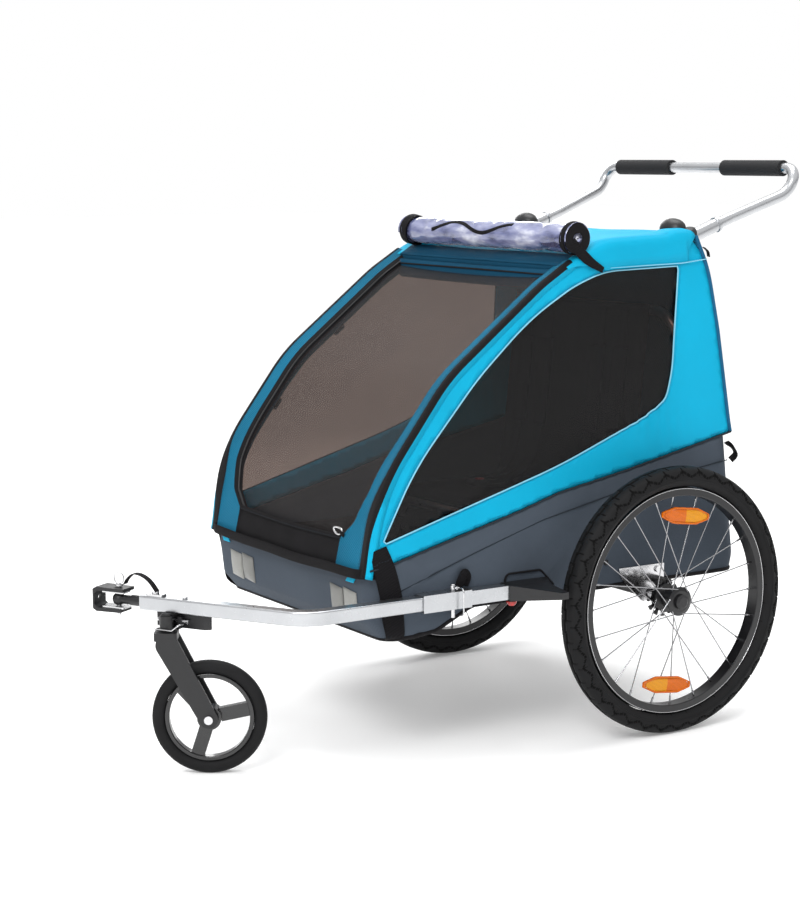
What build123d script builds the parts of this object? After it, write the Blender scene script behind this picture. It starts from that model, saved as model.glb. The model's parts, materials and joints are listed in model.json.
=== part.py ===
"""Child bicycle trailer in stroller trim: two spoked wheels, a caster under the tow arm and a folding cabin.

Lengths are in millimetres. +Z is up, -Y is the way it travels and +X is its left side.
The pieces are drawn with y = 0 on the rear axle, and save() moves them so that the origin
is the middle of the whole outline, on the ground.
"""

import os
from math import cos, radians, sin

from build123d import *

# ------------------------------------------------ driving dimensions
AXLE_TO_ORIGIN = 304.5          # the rear axle lies this far behind the origin
SIDES = {"left": 1, "right": -1}
GAP = 0.3                       # clearance between pieces that only lie side by side
RUNNING = 0.05                  # radial clearance of a turning fit

AXLE_Z = 250.0                  # 20 inch wheel with a 47 mm tyre
TYRE_WIDTH = 47.0
RIM_INNER_R = 196.0
RIM_WIDTH = 27.0
TRACK_HALF = 366.5
SPOKES = 24
SPOKE_R = 1.1
SPOKE_PASS = 1.5                # half the distance between the planes of crossing spokes
AXLE_R = 6.0
HUB_INNER_X = 343.0
HUB_OUTER_X = 388.0
FLANGE_R = 27.0
ROTOR_R = 36.0
ROTOR_NOTCHES = 12
BRAKE_ANGLE = 45.0
BRAKE_TRAVEL = 8.0

HALF_WIDTH = 290.0              # outside of the fabric body
FABRIC = 3.0
FLOOR_Z = 273.0
BODY_FRONT_Y = -616.0
BODY_REAR_Y = 232.0
RAIL = 25.0
RAIL_X = 262.0
RAIL_Z = 294.0
RAIL_REAR_Y = 178.0
RAIL_FRONT_Y = -552.0
RAIL_TOP = RAIL_Z + RAIL / 2

ARM = 25.0
ARM_WALL = 2.5
ARM_X = 307.0
ARM_Z = 294.0
ARM_BEND = (300.0, -752.0)
ARM_TIP = (30.0, -917.0)
SLEEVE = 31.0
SLEEVE_FRONT_Y = -522.0
SLEEVE_REAR_Y = -421.0
RECEIVER_REAR_Y = -339.0
RECEIVER_PIN_Y = -452.0

FOLD_Y = -590.0                 # pivot of the cabin arches
FOLD_Z = 345.0
ARCH_X = 270.0
ARCH_R = 10.0
BACK_PIVOT_Z = 332.0            # pivot of the backrest frame, over the rear cross tube
BACK_X = 238.0
BACK_R = 10.0
BACK_TOP_Y = 98.0
BACK_TOP_Z = 770.0
PIVOT_PIN_R = 4.0
PIVOT_HOLE_R = 4.3

SEAT_FRONT_Y = -200.0
SEAT_TUBE_Z = 372.0

SOCKET_X = 268.0                # handlebar sockets at the rear corners of the roof
SOCKET_START = (96.0, 907.5)
SOCKET_SLOPE = 19.5
SOCKET_LENGTH = 84.0
BAR_R = 10.5
BAR_Y = 356.0
BAR_Z = 1039.0
GRIP_R = 15.5

CASTER_R = 100.0
CASTER_TRAIL = 73.0
CASTER_STEM = (92.0, -903.0)
CASTER_ANGLE = 57.45            # plan angle from +X to the side that the caster wheel trails towards
STEM_R = 8.0
WIRE_R = 1.3                    # wire of the two pin bails
CROWN_Z = 252.0

# ------------------------------------------------ outlines in the Y-Z plane
ARCH_LINE = [(-622, 345), (-588, 500), (-451, 680), (-250, 836), (-125, 912), (88, 922)]
ARCH_TUBE = [(FOLD_Y, FOLD_Z), (-568, 490), (-437, 662), (-240, 815), (-119, 888), (92, 898)]
ARCH_BENDS = [320.0, 320.0, 320.0, 110.0]
SEAM_LINE = [(-613, 358), (-572, 364), (-298, 433), (-209, 459), (-56, 487), (199, 541)]
REAR_LINE = [(104, 915), (135, 854), (162, 739), (194, 562)]
TUB_LOWER = [(207, 453), (228, 300), (222, FLOOR_Z), (-400, FLOOR_Z), (-480, 236), (-575, 229), (-603, 262)]

os.makedirs("parts", exist_ok=True)


def save(piece, name, place=Location()):
    """Moves a finished piece into the object's own frame, labels it and writes its STEP file."""
    placed = piece.part.moved(Location((0, AXLE_TO_ORIGIN, 0)) * place)
    placed.label = name
    export_step(placed, f"parts/{name}.step")


def swept(points, bends, profile):
    """A bar along a bent centreline, whose section the profile function draws."""
    with BuildPart() as bar:
        with BuildLine() as path:
            if len(points) == 2:
                Line(*points)
            else:
                FilletPolyline(*points, radius=bends)
        with BuildSketch(Plane(origin=path.line @ 0, z_dir=path.line % 0)):
            add(profile)
        sweep()
    return bar.part


def disc(radius, bore=0.0):
    """A circle, or a ring where it has a bore."""
    with BuildSketch() as flat:
        Circle(radius)
        if bore:
            Circle(bore, mode=Mode.SUBTRACT)
    return flat.sketch


def square(width, bore=0.0):
    """A square with softened corners, hollow where it has a bore."""
    with BuildSketch() as flat:
        RectangleRounded(width, width, 3)
        if bore:
            RectangleRounded(bore, bore, 1.5, mode=Mode.SUBTRACT)
    return flat.sketch


def cylinder_x(radius, start, end, y, z, bore=0.0):
    """A round bar or ring that lies along X."""
    with BuildPart() as bar:
        with BuildSketch(Plane.YZ.offset(min(start, end))):
            with Locations((y, z)):
                add(disc(radius, bore))
        extrude(amount=abs(end - start))
    return bar.part


def block(low, high, corner=0.0):
    """A box between two corners, with its upright edges rounded where corner is given."""
    size = [b - a for a, b in zip(low, high)]
    with BuildPart() as solid:
        with Locations(tuple((a + b) / 2 for a, b in zip(low, high))):
            Box(*size)
        if corner:
            fillet(solid.edges().filter_by(Axis.Z), corner)
    return solid.part


def side_body(points, inset=0.0):
    """The solid that a Y-Z outline sweeps across the cabin, with rounded corners in plan."""
    centre = (BODY_FRONT_Y + BODY_REAR_Y) / 2
    length = BODY_REAR_Y - BODY_FRONT_Y
    with BuildPart() as body:
        with BuildSketch(Plane.YZ):
            with BuildLine():
                Polyline(*points, close=True)
            make_face()
            if inset:
                offset(amount=-inset, kind=Kind.INTERSECTION)
        extrude(amount=HALF_WIDTH - inset, both=True)
        with BuildSketch(Plane.XY):
            with Locations((0, centre)):
                RectangleRounded(2 * (HALF_WIDTH - inset), length - 2 * inset, 38 - inset)
        extrude(amount=1200, mode=Mode.INTERSECT)
    return body.part


def arch_points(steps=18):
    """Points along the cabin's front and top outline."""
    with BuildLine(Plane.YZ) as path:
        FilletPolyline(*ARCH_LINE, radius=ARCH_BENDS)
    found = []
    for i in range(steps + 1):
        here = path.line @ (i / steps)
        found.append((here.Y, here.Z))
    return found


# ------------------------------------------------ frame and receiver
cross_half = RAIL_X - RAIL / 2 + 1
rail_middle_y = (RAIL_REAR_Y + RAIL_FRONT_Y) / 2
cross_tubes = [
    swept([(-cross_half, y, RAIL_Z), (cross_half, y, RAIL_Z)], 0, square(RAIL))
    for y in (RAIL_REAR_Y, -130.0, RAIL_FRONT_Y)
]

hoop_foot = RAIL_TOP + 0.1
seat_hoop = swept([(-255, SEAT_FRONT_Y, hoop_foot), (-255, SEAT_FRONT_Y, SEAT_TUBE_Z),
                   (255, SEAT_FRONT_Y, SEAT_TUBE_Z), (255, SEAT_FRONT_Y, hoop_foot)], 40, disc(8))

with BuildPart() as floor_frame:
    with Locations((RAIL_X, rail_middle_y, RAIL_Z), (-RAIL_X, rail_middle_y, RAIL_Z)):
        Box(RAIL, RAIL_REAR_Y - RAIL_FRONT_Y + RAIL, RAIL)
    for tube in cross_tubes:
        add(tube)
    for side in SIDES.values():
        with BuildSketch(Plane.YZ.offset(side * 255 - 3)):
            with Locations((FOLD_Y, FOLD_Z)):
                Circle(12)
            with BuildLine():
                Polyline((FOLD_Y - 10, FOLD_Z - 7), (-562, RAIL_Z), (-530, RAIL_Z),
                         (FOLD_Y + 10, FOLD_Z + 7), close=True)
            make_face()
            with Locations((RAIL_REAR_Y, BACK_PIVOT_Z)):
                Circle(11)
            with Locations((RAIL_REAR_Y, RAIL_TOP + 8)):
                Rectangle(22, 34)
            with Locations((FOLD_Y, FOLD_Z), (RAIL_REAR_Y, BACK_PIVOT_Z)):
                Circle(PIVOT_PIN_R + GAP, mode=Mode.SUBTRACT)
        extrude(amount=6)
    add(seat_hoop)
save(floor_frame, "floor_frame")

with BuildPart() as receiver:
    add(block((ARM_X - SLEEVE / 2, SLEEVE_FRONT_Y, ARM_Z - SLEEVE / 2),
              (ARM_X + SLEEVE / 2, SLEEVE_REAR_Y, ARM_Z + SLEEVE / 2)))
    add(block((ARM_X - ARM / 2, SLEEVE_REAR_Y, ARM_Z - ARM / 2),
              (ARM_X + ARM / 2, RECEIVER_REAR_Y, ARM_Z + ARM / 2)))
    bore = ARM / 2 + GAP
    add(block((ARM_X - bore, SLEEVE_FRONT_Y - 1, ARM_Z - bore),
              (ARM_X + bore, SLEEVE_REAR_Y - 8, ARM_Z + bore)),
        mode=Mode.SUBTRACT)
    with Locations((ARM_X, RECEIVER_PIN_Y, ARM_Z)):
        Cylinder(4.3, 60, mode=Mode.SUBTRACT)
save(receiver, "tow_arm_receiver")

# ------------------------------------------------ wheel guards, axle and brake
BUTTON_X = 306.0
BUTTON_Y = -324.0
with BuildPart() as guard_half:
    with BuildSketch(Plane.XY.offset(ARM_Z - 16)):
        with BuildLine():
            Polyline((291, RECEIVER_REAR_Y), (323, RECEIVER_REAR_Y), (393, -276), (393, -262),
                     (340, -262), (291, -236), close=True)
        make_face()
    extrude(amount=32)
    with BuildSketch(Plane.XZ):
        with BuildLine():
            Polyline((280, 278), (280, 308), (323, 307), (394, 299), (394, 287), (323, 279), close=True)
        make_face()
    extrude(amount=600, mode=Mode.INTERSECT)
    add(block((274.5, -325, ARM_Z - 10), (292, -255, ARM_Z + 10)))
    with Locations((BUTTON_X, BUTTON_Y, 285)):
        Cylinder(5 + RUNNING, 19, mode=Mode.SUBTRACT)
guard_pair = [guard_half.part, mirror(guard_half.part, about=Plane.YZ)]

with BuildPart() as wheel_guards:
    for guard in guard_pair:
        add(guard)
save(wheel_guards, "wheel_guards")

with BuildPart() as release_button:
    with BuildSketch(Plane.XZ):
        with BuildLine():
            Polyline((0, 266), (5, 267), (9, 272), (9, 275), (5, 275), (5, 290), (0, 290), close=True)
        make_face()
    revolve(axis=Axis.Z)
save(release_button, "arm_release_button", Location((BUTTON_X, BUTTON_Y, 0)))

with BuildPart() as axle_tube:
    add(cylinder_x(9, -296, 296, 0, AXLE_Z, AXLE_R + RUNNING))
save(axle_tube, "axle_tube")

brake_y = ROTOR_R * 0.9 * cos(radians(BRAKE_ANGLE))
brake_z = AXLE_Z + ROTOR_R * 0.9 * sin(radians(BRAKE_ANGLE))
PLATE_BOLTS = [(-48.0, RAIL_Z), (20.0, RAIL_Z)]


def axle_plate(side):
    """The dropout plate outside the rail, with the spacers that pass through the fabric."""
    with BuildPart() as plate:
        with BuildSketch(Plane.YZ.offset(side * 293.5 - 2.5)):
            with BuildLine():
                Polyline((-72, 304), (-66, 284), (-14, 236), (14, 236), (36, 262), (36, 304), close=True)
            make_face()
            with Locations((0, AXLE_Z)):
                Circle(9, mode=Mode.SUBTRACT)
            with Locations(*PLATE_BOLTS):
                Circle(3.2, mode=Mode.SUBTRACT)
        extrude(amount=5)
        for y, z in PLATE_BOLTS:
            add(cylinder_x(9, side * 274.5, side * 291, y, z, 3.2))
    return plate.part


def paired(make):
    """The same root piece on both sides, as one group of separate solids."""
    with BuildPart() as group:
        for side in SIDES.values():
            add(make(side))
    return group


def stub_axle(side):
    """The stub axle that the hub turns on."""
    return cylinder_x(AXLE_R, side * 220, side * 382, 0, AXLE_Z)


def brake_guide(side):
    """The sleeve that carries the parking brake's pin."""
    return cylinder_x(8, side * 296, side * 326, brake_y, brake_z, 4 + RUNNING)


def brake_pin(side):
    """The pin that enters a notch of the hub's toothed disc."""
    with BuildPart() as pin:
        add(cylinder_x(4, side * 300, side * 332.5, brake_y, brake_z))
    return pin


def frame_bolts(side):
    """The dropout's bolts and the two fold pivots of one side."""
    with BuildPart() as bolts:
        for y, z in PLATE_BOLTS:
            add(cylinder_x(3, side * 276, side * 296, y, z))
            add(cylinder_x(6, side * 296, side * 300, y, z))
        for y, z, start, end in PIVOTS:
            add(cylinder_x(PIVOT_PIN_R, side * start, side * end, y, z))
            head = 3 if end > start else -3
            add(cylinder_x(7, side * end, side * (end + head), y, z))
    return bolts.part


PIVOTS = [(FOLD_Y, FOLD_Z, 280.3, 250), (RAIL_REAR_Y, BACK_PIVOT_Z, 227.6, 258.4)]
save(paired(axle_plate), "axle_plates")
save(paired(stub_axle), "stub_axles")
save(paired(brake_guide), "brake_guides")
save(paired(frame_bolts), "frame_bolts")

# ------------------------------------------------ rear wheels
def tyre(side):
    """The tyre's ring, round outside and seated on the rim's edges."""
    with BuildPart() as ring:
        with BuildSketch(Plane.XZ):
            with Locations((side * TRACK_HALF, AXLE_Z - TYRE_WIDTH / 2)):
                Circle(TYRE_WIDTH / 2)
                Circle(TYRE_WIDTH / 2 - 4, mode=Mode.SUBTRACT)
            with Locations((side * TRACK_HALF, RIM_INNER_R + 5)):
                Rectangle(RIM_WIDTH + 0.4, 21, mode=Mode.SUBTRACT)
        revolve(axis=Axis.X)
    return ring


def rim(side):
    """The rim's box section, whose edges hold the tyre's beads."""
    with BuildPart() as ring:
        with BuildSketch(Plane.XZ):
            with Locations((side * TRACK_HALF, RIM_INNER_R + 4)):
                RectangleRounded(RIM_WIDTH, 8, 2)
            for edge in (-1, 1):
                with Locations((side * TRACK_HALF + edge * (RIM_WIDTH / 2 - 1.6), RIM_INNER_R + 8)):
                    RectangleRounded(3.2, 14, 1.2)
        revolve(axis=Axis.X)
    return ring


def hub(side):
    """The hub shell with its two flanges, the brake's notched disc inboard and two bearings in its bore."""
    with BuildPart() as shell:
        with BuildSketch(Plane.XZ):
            with BuildLine():
                Polyline((side * 334, 14), (side * 334, 24), (side * 345, 24), (side * 345, FLANGE_R),
                         (side * 348, FLANGE_R), (side * 352, 17), (side * 379, 17),
                         (side * 383, FLANGE_R), (side * 386, FLANGE_R), (side * HUB_OUTER_X, 20),
                         (side * HUB_OUTER_X, 14), close=True)
            make_face()
        revolve(axis=Axis.X)
        with BuildSketch(Plane.YZ.offset(side * 336.5 - 2.5)):
            Circle(ROTOR_R)
            Circle(20, mode=Mode.SUBTRACT)
            with PolarLocations(ROTOR_R - 2, ROTOR_NOTCHES, 180 / ROTOR_NOTCHES):
                Rectangle(16, 10, mode=Mode.SUBTRACT)
        extrude(amount=5)
        for start in (HUB_INNER_X + 3, HUB_OUTER_X - 14):
            add(cylinder_x(13.95, side * start, side * (start + 8), 0, 0, AXLE_R + RUNNING))
    return shell


def hub_button(side):
    """The domed button in the hub's outer end that frees the wheel from the frame."""
    with BuildPart() as cap:
        with BuildSketch(Plane.XZ):
            with BuildLine():
                Polyline((side * 386, 0), (side * 386, 13.9), (side * 393, 13.9),
                         (side * 396, 9), (side * 396, 0), close=True)
            make_face()
        revolve(axis=Axis.X)
    return cap


def spokes(side):
    """Crossed spokes from both flanges to the rim, each with its nipple, passing side by side."""
    with BuildPart() as wires:
        for i in range(SPOKES):
            outer = i % 2
            lean = 62 if (i // 2) % 2 else -62
            rim_angle = radians(360 / SPOKES * i)
            hub_angle = rim_angle + radians(lean)
            pass_by = SPOKE_PASS if lean > 0 else -SPOKE_PASS
            flange_x = side * (384.5 if outer else 346.5) + pass_by
            rim_x = side * (TRACK_HALF + (3 if outer else -3)) + pass_by
            start = Vector(flange_x, (FLANGE_R - 3) * sin(hub_angle), (FLANGE_R - 3) * cos(hub_angle))
            end = Vector(rim_x, (RIM_INNER_R + 2) * sin(rim_angle), (RIM_INNER_R + 2) * cos(rim_angle))
            run = end - start
            with BuildSketch(Plane(origin=start, z_dir=run)):
                Circle(SPOKE_R)
            extrude(amount=run.length)
            with BuildSketch(Plane(origin=end - run.normalized() * 14, z_dir=run)):
                Circle(1.9)
            extrude(amount=14)
    return wires


def reflectors(side):
    """Two long amber reflectors clipped between the spokes."""
    with BuildPart() as lenses:
        with BuildSketch(Plane.YZ.offset(side * 374 - 3)):
            with PolarLocations(158, 2, 83):
                RectangleRounded(30, 108, 13)
        extrude(amount=6)
    return lenses


wheel_place = Location((0, 0, AXLE_Z))
for name, side in SIDES.items():
    save(brake_pin(side), f"{name}_brake_pin")
    save(tyre(side), f"{name}_tyre", wheel_place)
    save(rim(side), f"{name}_rim", wheel_place)
    save(hub(side), f"{name}_hub", wheel_place)
    save(hub_button(side), f"{name}_hub_button", wheel_place)
    save(spokes(side), f"{name}_spokes", wheel_place)
    save(reflectors(side), f"{name}_reflectors", wheel_place)

# ------------------------------------------------ parking brake lever
LEVER_Y = 196.0
LEVER_Z = 257.0
with BuildPart() as brake_mount:
    add(block((-52, 168, 259), (52, 186, FLOOR_Z - 1)))
    for x in (-46, 46):
        with BuildSketch(Plane.YZ.offset(x - 3)):
            with Locations((LEVER_Y, LEVER_Z)):
                Circle(8)
            with BuildLine():
                Polyline((170, 270), (170, 260), (LEVER_Y, LEVER_Z - 8), (LEVER_Y, LEVER_Z + 8),
                         (186, 270), close=True)
            make_face()
        extrude(amount=6)
    add(cylinder_x(3, -49, 49, LEVER_Y, LEVER_Z))
    for x in (-30, 30):
        with Locations((x, 177, (FLOOR_Z - 1 + RAIL_Z - RAIL / 2) / 2)):
            Cylinder(5, RAIL_Z - RAIL / 2 - FLOOR_Z + 1)
save(brake_mount, "brake_lever_mount")

with BuildPart() as brake_lever:
    add(cylinder_x(7, -42, 42, LEVER_Y, LEVER_Z))
    add(block((-36, LEVER_Y, LEVER_Z - 3), (36, 268, LEVER_Z + 3), 6))
    add(cylinder_x(3 + RUNNING, -42, 42, LEVER_Y, LEVER_Z), mode=Mode.SUBTRACT)
save(brake_lever, "brake_lever")

# ------------------------------------------------ tow arm
arm_run = Vector(ARM_TIP[0] - ARM_BEND[0], ARM_TIP[1] - ARM_BEND[1], 0)
arm_way = arm_run.normalized()
arm_side = Vector(-arm_way.Y, arm_way.X, 0)       # sideways from the bent arm, towards the front
ARM_END = Vector(ARM_TIP[0], ARM_TIP[1], ARM_Z)
arm_path = [(ARM_X, SLEEVE_REAR_Y - 10, ARM_Z), (ARM_X, ARM_BEND[1] + 4, ARM_Z), tuple(ARM_END)]
arm_solid = swept(arm_path, 62, square(ARM, ARM - 2 * ARM_WALL))

stem_at = Vector(CASTER_STEM[0], CASTER_STEM[1], 0) - Vector(ARM_TIP[0], ARM_TIP[1], 0)
STEM_BACK = -stem_at.dot(arm_way)                  # from the arm's end back to the caster's stem
STEM_ASIDE = stem_at.dot(arm_side)
arm_plane = Plane(origin=(ARM_TIP[0], ARM_TIP[1], ARM_Z), x_dir=arm_way, z_dir=(0, 0, 1))
arm_place = arm_plane.location

with BuildPart() as tow_arm:
    add(arm_solid)
    with Locations((ARM_X, RECEIVER_PIN_Y, ARM_Z)):
        Cylinder(4.3, 60, mode=Mode.SUBTRACT)
save(tow_arm, "tow_arm")

with BuildPart() as arm_plug:
    with BuildSketch(Plane.YZ.offset(-38)):
        add(square(ARM - 2 * ARM_WALL - 0.6))
        Circle(8 + RUNNING, mode=Mode.SUBTRACT)
    extrude(amount=38)
save(arm_plug, "arm_end_plug", arm_place)

with BuildPart() as strap_anchor:
    add(block((-44, -9, ARM / 2), (-12, 9, ARM / 2 + 4), 3))
    with Locations((-26, 0, ARM / 2 + 6)):
        Cylinder(6.5, 4)
    with Locations((-86, 0, ARM / 2 + 2)):
        Cylinder(4.5, 4)
save(strap_anchor, "strap_anchor", arm_place)

# ------------------------------------------------ hitch head, drawn along +X from the arm's end
BALL_X = 50.0
BALL_R = 11.5
HITCH_BORE_R = 5.2              # takes a bicycle's 10 mm rear axle
with BuildPart() as hitch_ball:
    with BuildSketch(Plane.YZ.offset(-34)):
        Circle(8)
    extrude(amount=34 + BALL_X)
    with BuildSketch(Plane.YZ.offset(0.5)):
        Circle(9.5)
    extrude(amount=22)
    with Locations((BALL_X, 0, 0)):
        Sphere(BALL_R)
        Cylinder(4 + GAP, 60, mode=Mode.SUBTRACT)
save(hitch_ball, "hitch_ball", arm_place)

with BuildPart() as hitch_yoke:
    with BuildSketch(Plane.XZ.offset(-18)):
        with BuildLine():
            Polyline((BALL_X - 20, 15.3), (BALL_X - 20, 21), (BALL_X + 36, 22), (BALL_X + 46, 16),
                     (BALL_X + 46, -16), (BALL_X + 36, -22), (BALL_X - 14, -21), (BALL_X - 14, -15.3),
                     (BALL_X + 34, -15.3), (BALL_X + 40, -10), (BALL_X + 40, 10),
                     (BALL_X + 34, 15.3), close=True)
        make_face()
    extrude(amount=36)
    fillet(hitch_yoke.edges().filter_by(Axis.Z).sort_by(Axis.X)[-2:], 5)
    with Locations((BALL_X, 0, 0)):
        Cylinder(4 + GAP, 60, mode=Mode.SUBTRACT)
    add(cylinder_x(HITCH_BORE_R, BALL_X + 38, BALL_X + 50, 0, 0), mode=Mode.SUBTRACT)
save(hitch_yoke, "hitch_yoke", arm_place)

with BuildPart() as hitch_plates:
    for z in (BALL_R + 0.6, -15.3):
        with BuildSketch(Plane.XY.offset(z)):
            with Locations((BALL_X + 6, 0)):
                RectangleRounded(48, 28, 6)
            with Locations((BALL_X, 0)):
                Circle(4 + GAP, mode=Mode.SUBTRACT)
        extrude(amount=15.3 - BALL_R - 0.6)
save(hitch_plates, "hitch_plates", arm_place)

with BuildPart() as hitch_pin:
    with Locations((BALL_X, 0, 0)):
        Cylinder(4, 56)
    with Locations((BALL_X, 0, 25)):
        Cylinder(7, 3)
    with BuildSketch(Plane.XZ):
        with Locations((BALL_X, 37)):
            Circle(11)
            Circle(9, mode=Mode.SUBTRACT)
    extrude(amount=1, both=True)
save(hitch_pin, "hitch_pin", arm_place)

with BuildPart() as safety_strap:
    with BuildLine() as route:
        FilletPolyline((-27, 0, ARM / 2 + 9), (-14, 0, 38), (18, 0, 50), (BALL_X - 14, 0, 30), radius=14)
    with BuildSketch(Plane(origin=route.line @ 0, x_dir=(0, 1, 0), z_dir=route.line % 0)):
        Rectangle(14, 1.8)
    sweep()
save(safety_strap, "safety_strap", arm_place)

# ------------------------------------------------ caster mount, drawn in the arm's frame
MOUNT_TOP = -ARM / 2
with BuildPart() as caster_mount:
    with BuildSketch(Plane.XY.offset(MOUNT_TOP - 27)):
        with BuildLine():
            Polyline((-STEM_BACK + 32, -12), (-STEM_BACK + 32, -0.5), (-STEM_BACK - 64, -0.5),
                     (-STEM_BACK - 72, -6), (-STEM_BACK - 72, -12), close=True)
        make_face()
    extrude(amount=27)
    add(block((-STEM_BACK - 20, -1, MOUNT_TOP - 27), (-STEM_BACK + 20, STEM_ASIDE - 9, MOUNT_TOP - 24)))
    with Locations((-STEM_BACK, STEM_ASIDE, MOUNT_TOP - 15)):
        Cylinder(12, 24)
    for x in (-STEM_BACK - 19, -STEM_BACK + 19):
        add(block((x - 4, -1, MOUNT_TOP - 22), (x + 4, 9, MOUNT_TOP - 6)))
    add(cylinder_x(3.5 + RUNNING, -STEM_BACK - 40, -STEM_BACK + 40, 4, MOUNT_TOP - 14), mode=Mode.SUBTRACT)
    with Locations((-STEM_BACK, STEM_ASIDE, MOUNT_TOP)):
        Cylinder(STEM_R + RUNNING, 80, mode=Mode.SUBTRACT)
save(caster_mount, "caster_mount", arm_place)

with BuildPart() as caster_pin:
    add(cylinder_x(3.5, -STEM_BACK - 32, -STEM_BACK + 27, 4, MOUNT_TOP - 14))
    add(cylinder_x(4.2, -STEM_BACK - 36, -STEM_BACK - 32, 4, MOUNT_TOP - 14))
save(caster_pin, "caster_pin", arm_place)

BAIL_Y = STEM_ASIDE + 16
BAIL_RIGHT = -STEM_BACK - 34
BAIL_LEFT = -STEM_BACK + 28
PIN_Z = MOUNT_TOP - 14
bail_route = [(BAIL_RIGHT, 8.5, PIN_Z), (BAIL_RIGHT, BAIL_Y, PIN_Z), (BAIL_RIGHT + 14, BAIL_Y, PIN_Z - 11),
              (BAIL_LEFT - 14, BAIL_Y, PIN_Z - 11), (BAIL_LEFT, BAIL_Y, PIN_Z)]
with BuildPart() as caster_bail:
    add(swept(bail_route, [6, 8, 8], disc(WIRE_R)))
save(caster_bail, "caster_pin_bail", arm_place)

# ------------------------------------------------ caster, drawn about its stem, trailing to +X
caster_place = Location(Plane(origin=(CASTER_STEM[0], CASTER_STEM[1], 0),
                              x_dir=(cos(radians(CASTER_ANGLE)), sin(radians(CASTER_ANGLE)), 0),
                              z_dir=(0, 0, 1)))
LEG_INNER = 18.0
LEG = 7.0
with BuildPart() as caster_fork:
    for leg_y in (LEG_INNER + LEG, -LEG_INNER):
        with BuildSketch(Plane.XZ.offset(-leg_y)):
            with Locations((3, 231)):
                Circle(20)
            with Locations((CASTER_TRAIL, CASTER_R)):
                Circle(16)
            make_hull()
            with Locations((CASTER_TRAIL, CASTER_R)):
                Circle(5, mode=Mode.SUBTRACT)
        extrude(amount=LEG)
    add(block((-20, -LEG_INNER - LEG, CROWN_Z - 14), (20, LEG_INNER + LEG, CROWN_Z), 5))
    with Locations((0, 0, (CROWN_Z + ARM_Z - ARM / 2) / 2 - 1)):
        Cylinder(STEM_R, ARM_Z - ARM / 2 - CROWN_Z + 4)
    with Locations((0, 0, ARM_Z - ARM / 2 - 1.6)):
        Cylinder(9.5, 2.4)
save(caster_fork, "caster_fork", caster_place)

with BuildPart() as caster_wheel:
    with BuildSketch(Plane.XZ):
        with Locations((CASTER_R - 26, 0)):
            RectangleRounded(8, 20, 2)
    revolve(axis=Axis.Z)
    with BuildSketch(Plane.XY.offset(-16)):
        Circle(21)
        Circle(5 + RUNNING, mode=Mode.SUBTRACT)
    extrude(amount=32)
    with BuildSketch(Plane.XY.offset(-7)):
        with PolarLocations(46, 3, 12):
            Rectangle(54, 24)
        Circle(20, mode=Mode.SUBTRACT)
    extrude(amount=14)
with BuildPart() as caster_tyre:
    with BuildSketch(Plane.XZ):
        with Locations((CASTER_R - 11.2, 0)):
            RectangleRounded(22.4, 27, 10.5)
        with Locations((CASTER_R - 26, 0)):
            Rectangle(8.6, 30, mode=Mode.SUBTRACT)
    revolve(axis=Axis.Z)
with BuildPart() as caster_axle:
    with Locations((0, 0, 0)):
        Cylinder(5 - RUNNING, 54)
    for z in (-28, 28):
        with Locations((0, 0, z)):
            Cylinder(7.5, 5)
wheel_plane = Plane(origin=(CASTER_TRAIL, 0, CASTER_R), x_dir=(1, 0, 0), z_dir=(0, -1, 0))
for piece, name in ((caster_wheel, "caster_wheel"), (caster_tyre, "caster_tyre"),
                    (caster_axle, "caster_axle")):
    save(piece, name, caster_place * wheel_plane.location)

# ------------------------------------------------ receiver pin
RECEIVER_PIN_TOP = ARM_Z + SLEEVE / 2 + 9
bail_x = ARM_X + 10.5           # the bail's bent end turns in a lug of the pin's head
bail_y = RECEIVER_PIN_Y + 6.5
bail_z = RECEIVER_PIN_TOP - 3
with BuildPart() as receiver_pin:
    with Locations((ARM_X, RECEIVER_PIN_Y, ARM_Z - 3)):
        Cylinder(4, 60)
    with Locations((ARM_X, RECEIVER_PIN_Y, bail_z)):
        Cylinder(6.5, 6)
    add(block((ARM_X + 5, RECEIVER_PIN_Y - 1.5, bail_z - 2.8),
              (bail_x + 2.8, RECEIVER_PIN_Y + 1.5, bail_z + 2.8)))
    with BuildSketch(Plane.XZ.offset(-RECEIVER_PIN_Y)):
        with Locations((bail_x, bail_z)):
            Circle(WIRE_R + RUNNING)
    extrude(amount=5, both=True, mode=Mode.SUBTRACT)
save(receiver_pin, "receiver_pin")

receiver_bail_route = [(bail_x, RECEIVER_PIN_Y - 4, bail_z), (bail_x, bail_y, bail_z),
                       (ARM_X + 25, bail_y, bail_z), (ARM_X + 25, bail_y, ARM_Z - 25),
                       (ARM_X + 17.5, bail_y, ARM_Z - 27)]
with BuildPart() as receiver_bail:
    add(swept(receiver_bail_route, [3, 8, 5], disc(WIRE_R)))
save(receiver_bail, "receiver_pin_bail")

# ------------------------------------------------ folding cabin frame
def arch(side):
    """One arch tube from its floor pivot to the rear of the roof."""
    return swept([(side * ARCH_X, y, z) for y, z in ARCH_TUBE], ARCH_BENDS, disc(ARCH_R))


with BuildPart() as arch_frame:
    for side in SIDES.values():
        add(arch(side))
    add(cylinder_x(8, -ARCH_X, ARCH_X, -195, 842))
    add(cylinder_x(8, -ARCH_X, ARCH_X, 60, 896.5))
    add(cylinder_x(PIVOT_HOLE_R, -300, 300, FOLD_Y, FOLD_Z), mode=Mode.SUBTRACT)
save(arch_frame, "arch_frame")

slope = radians(SOCKET_SLOPE)
socket_way = Vector(0, cos(slope), sin(slope))


def socket(side, outer, bore=0.0, start=0.0, length=SOCKET_LENGTH):
    """A round bar or tube along the handlebar socket's axis."""
    origin = Vector(side * SOCKET_X, *SOCKET_START) + socket_way * start
    with BuildPart() as tube:
        with BuildSketch(Plane(origin=origin, z_dir=socket_way)):
            add(disc(outer, bore))
        extrude(amount=length)
    return tube.part


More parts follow.
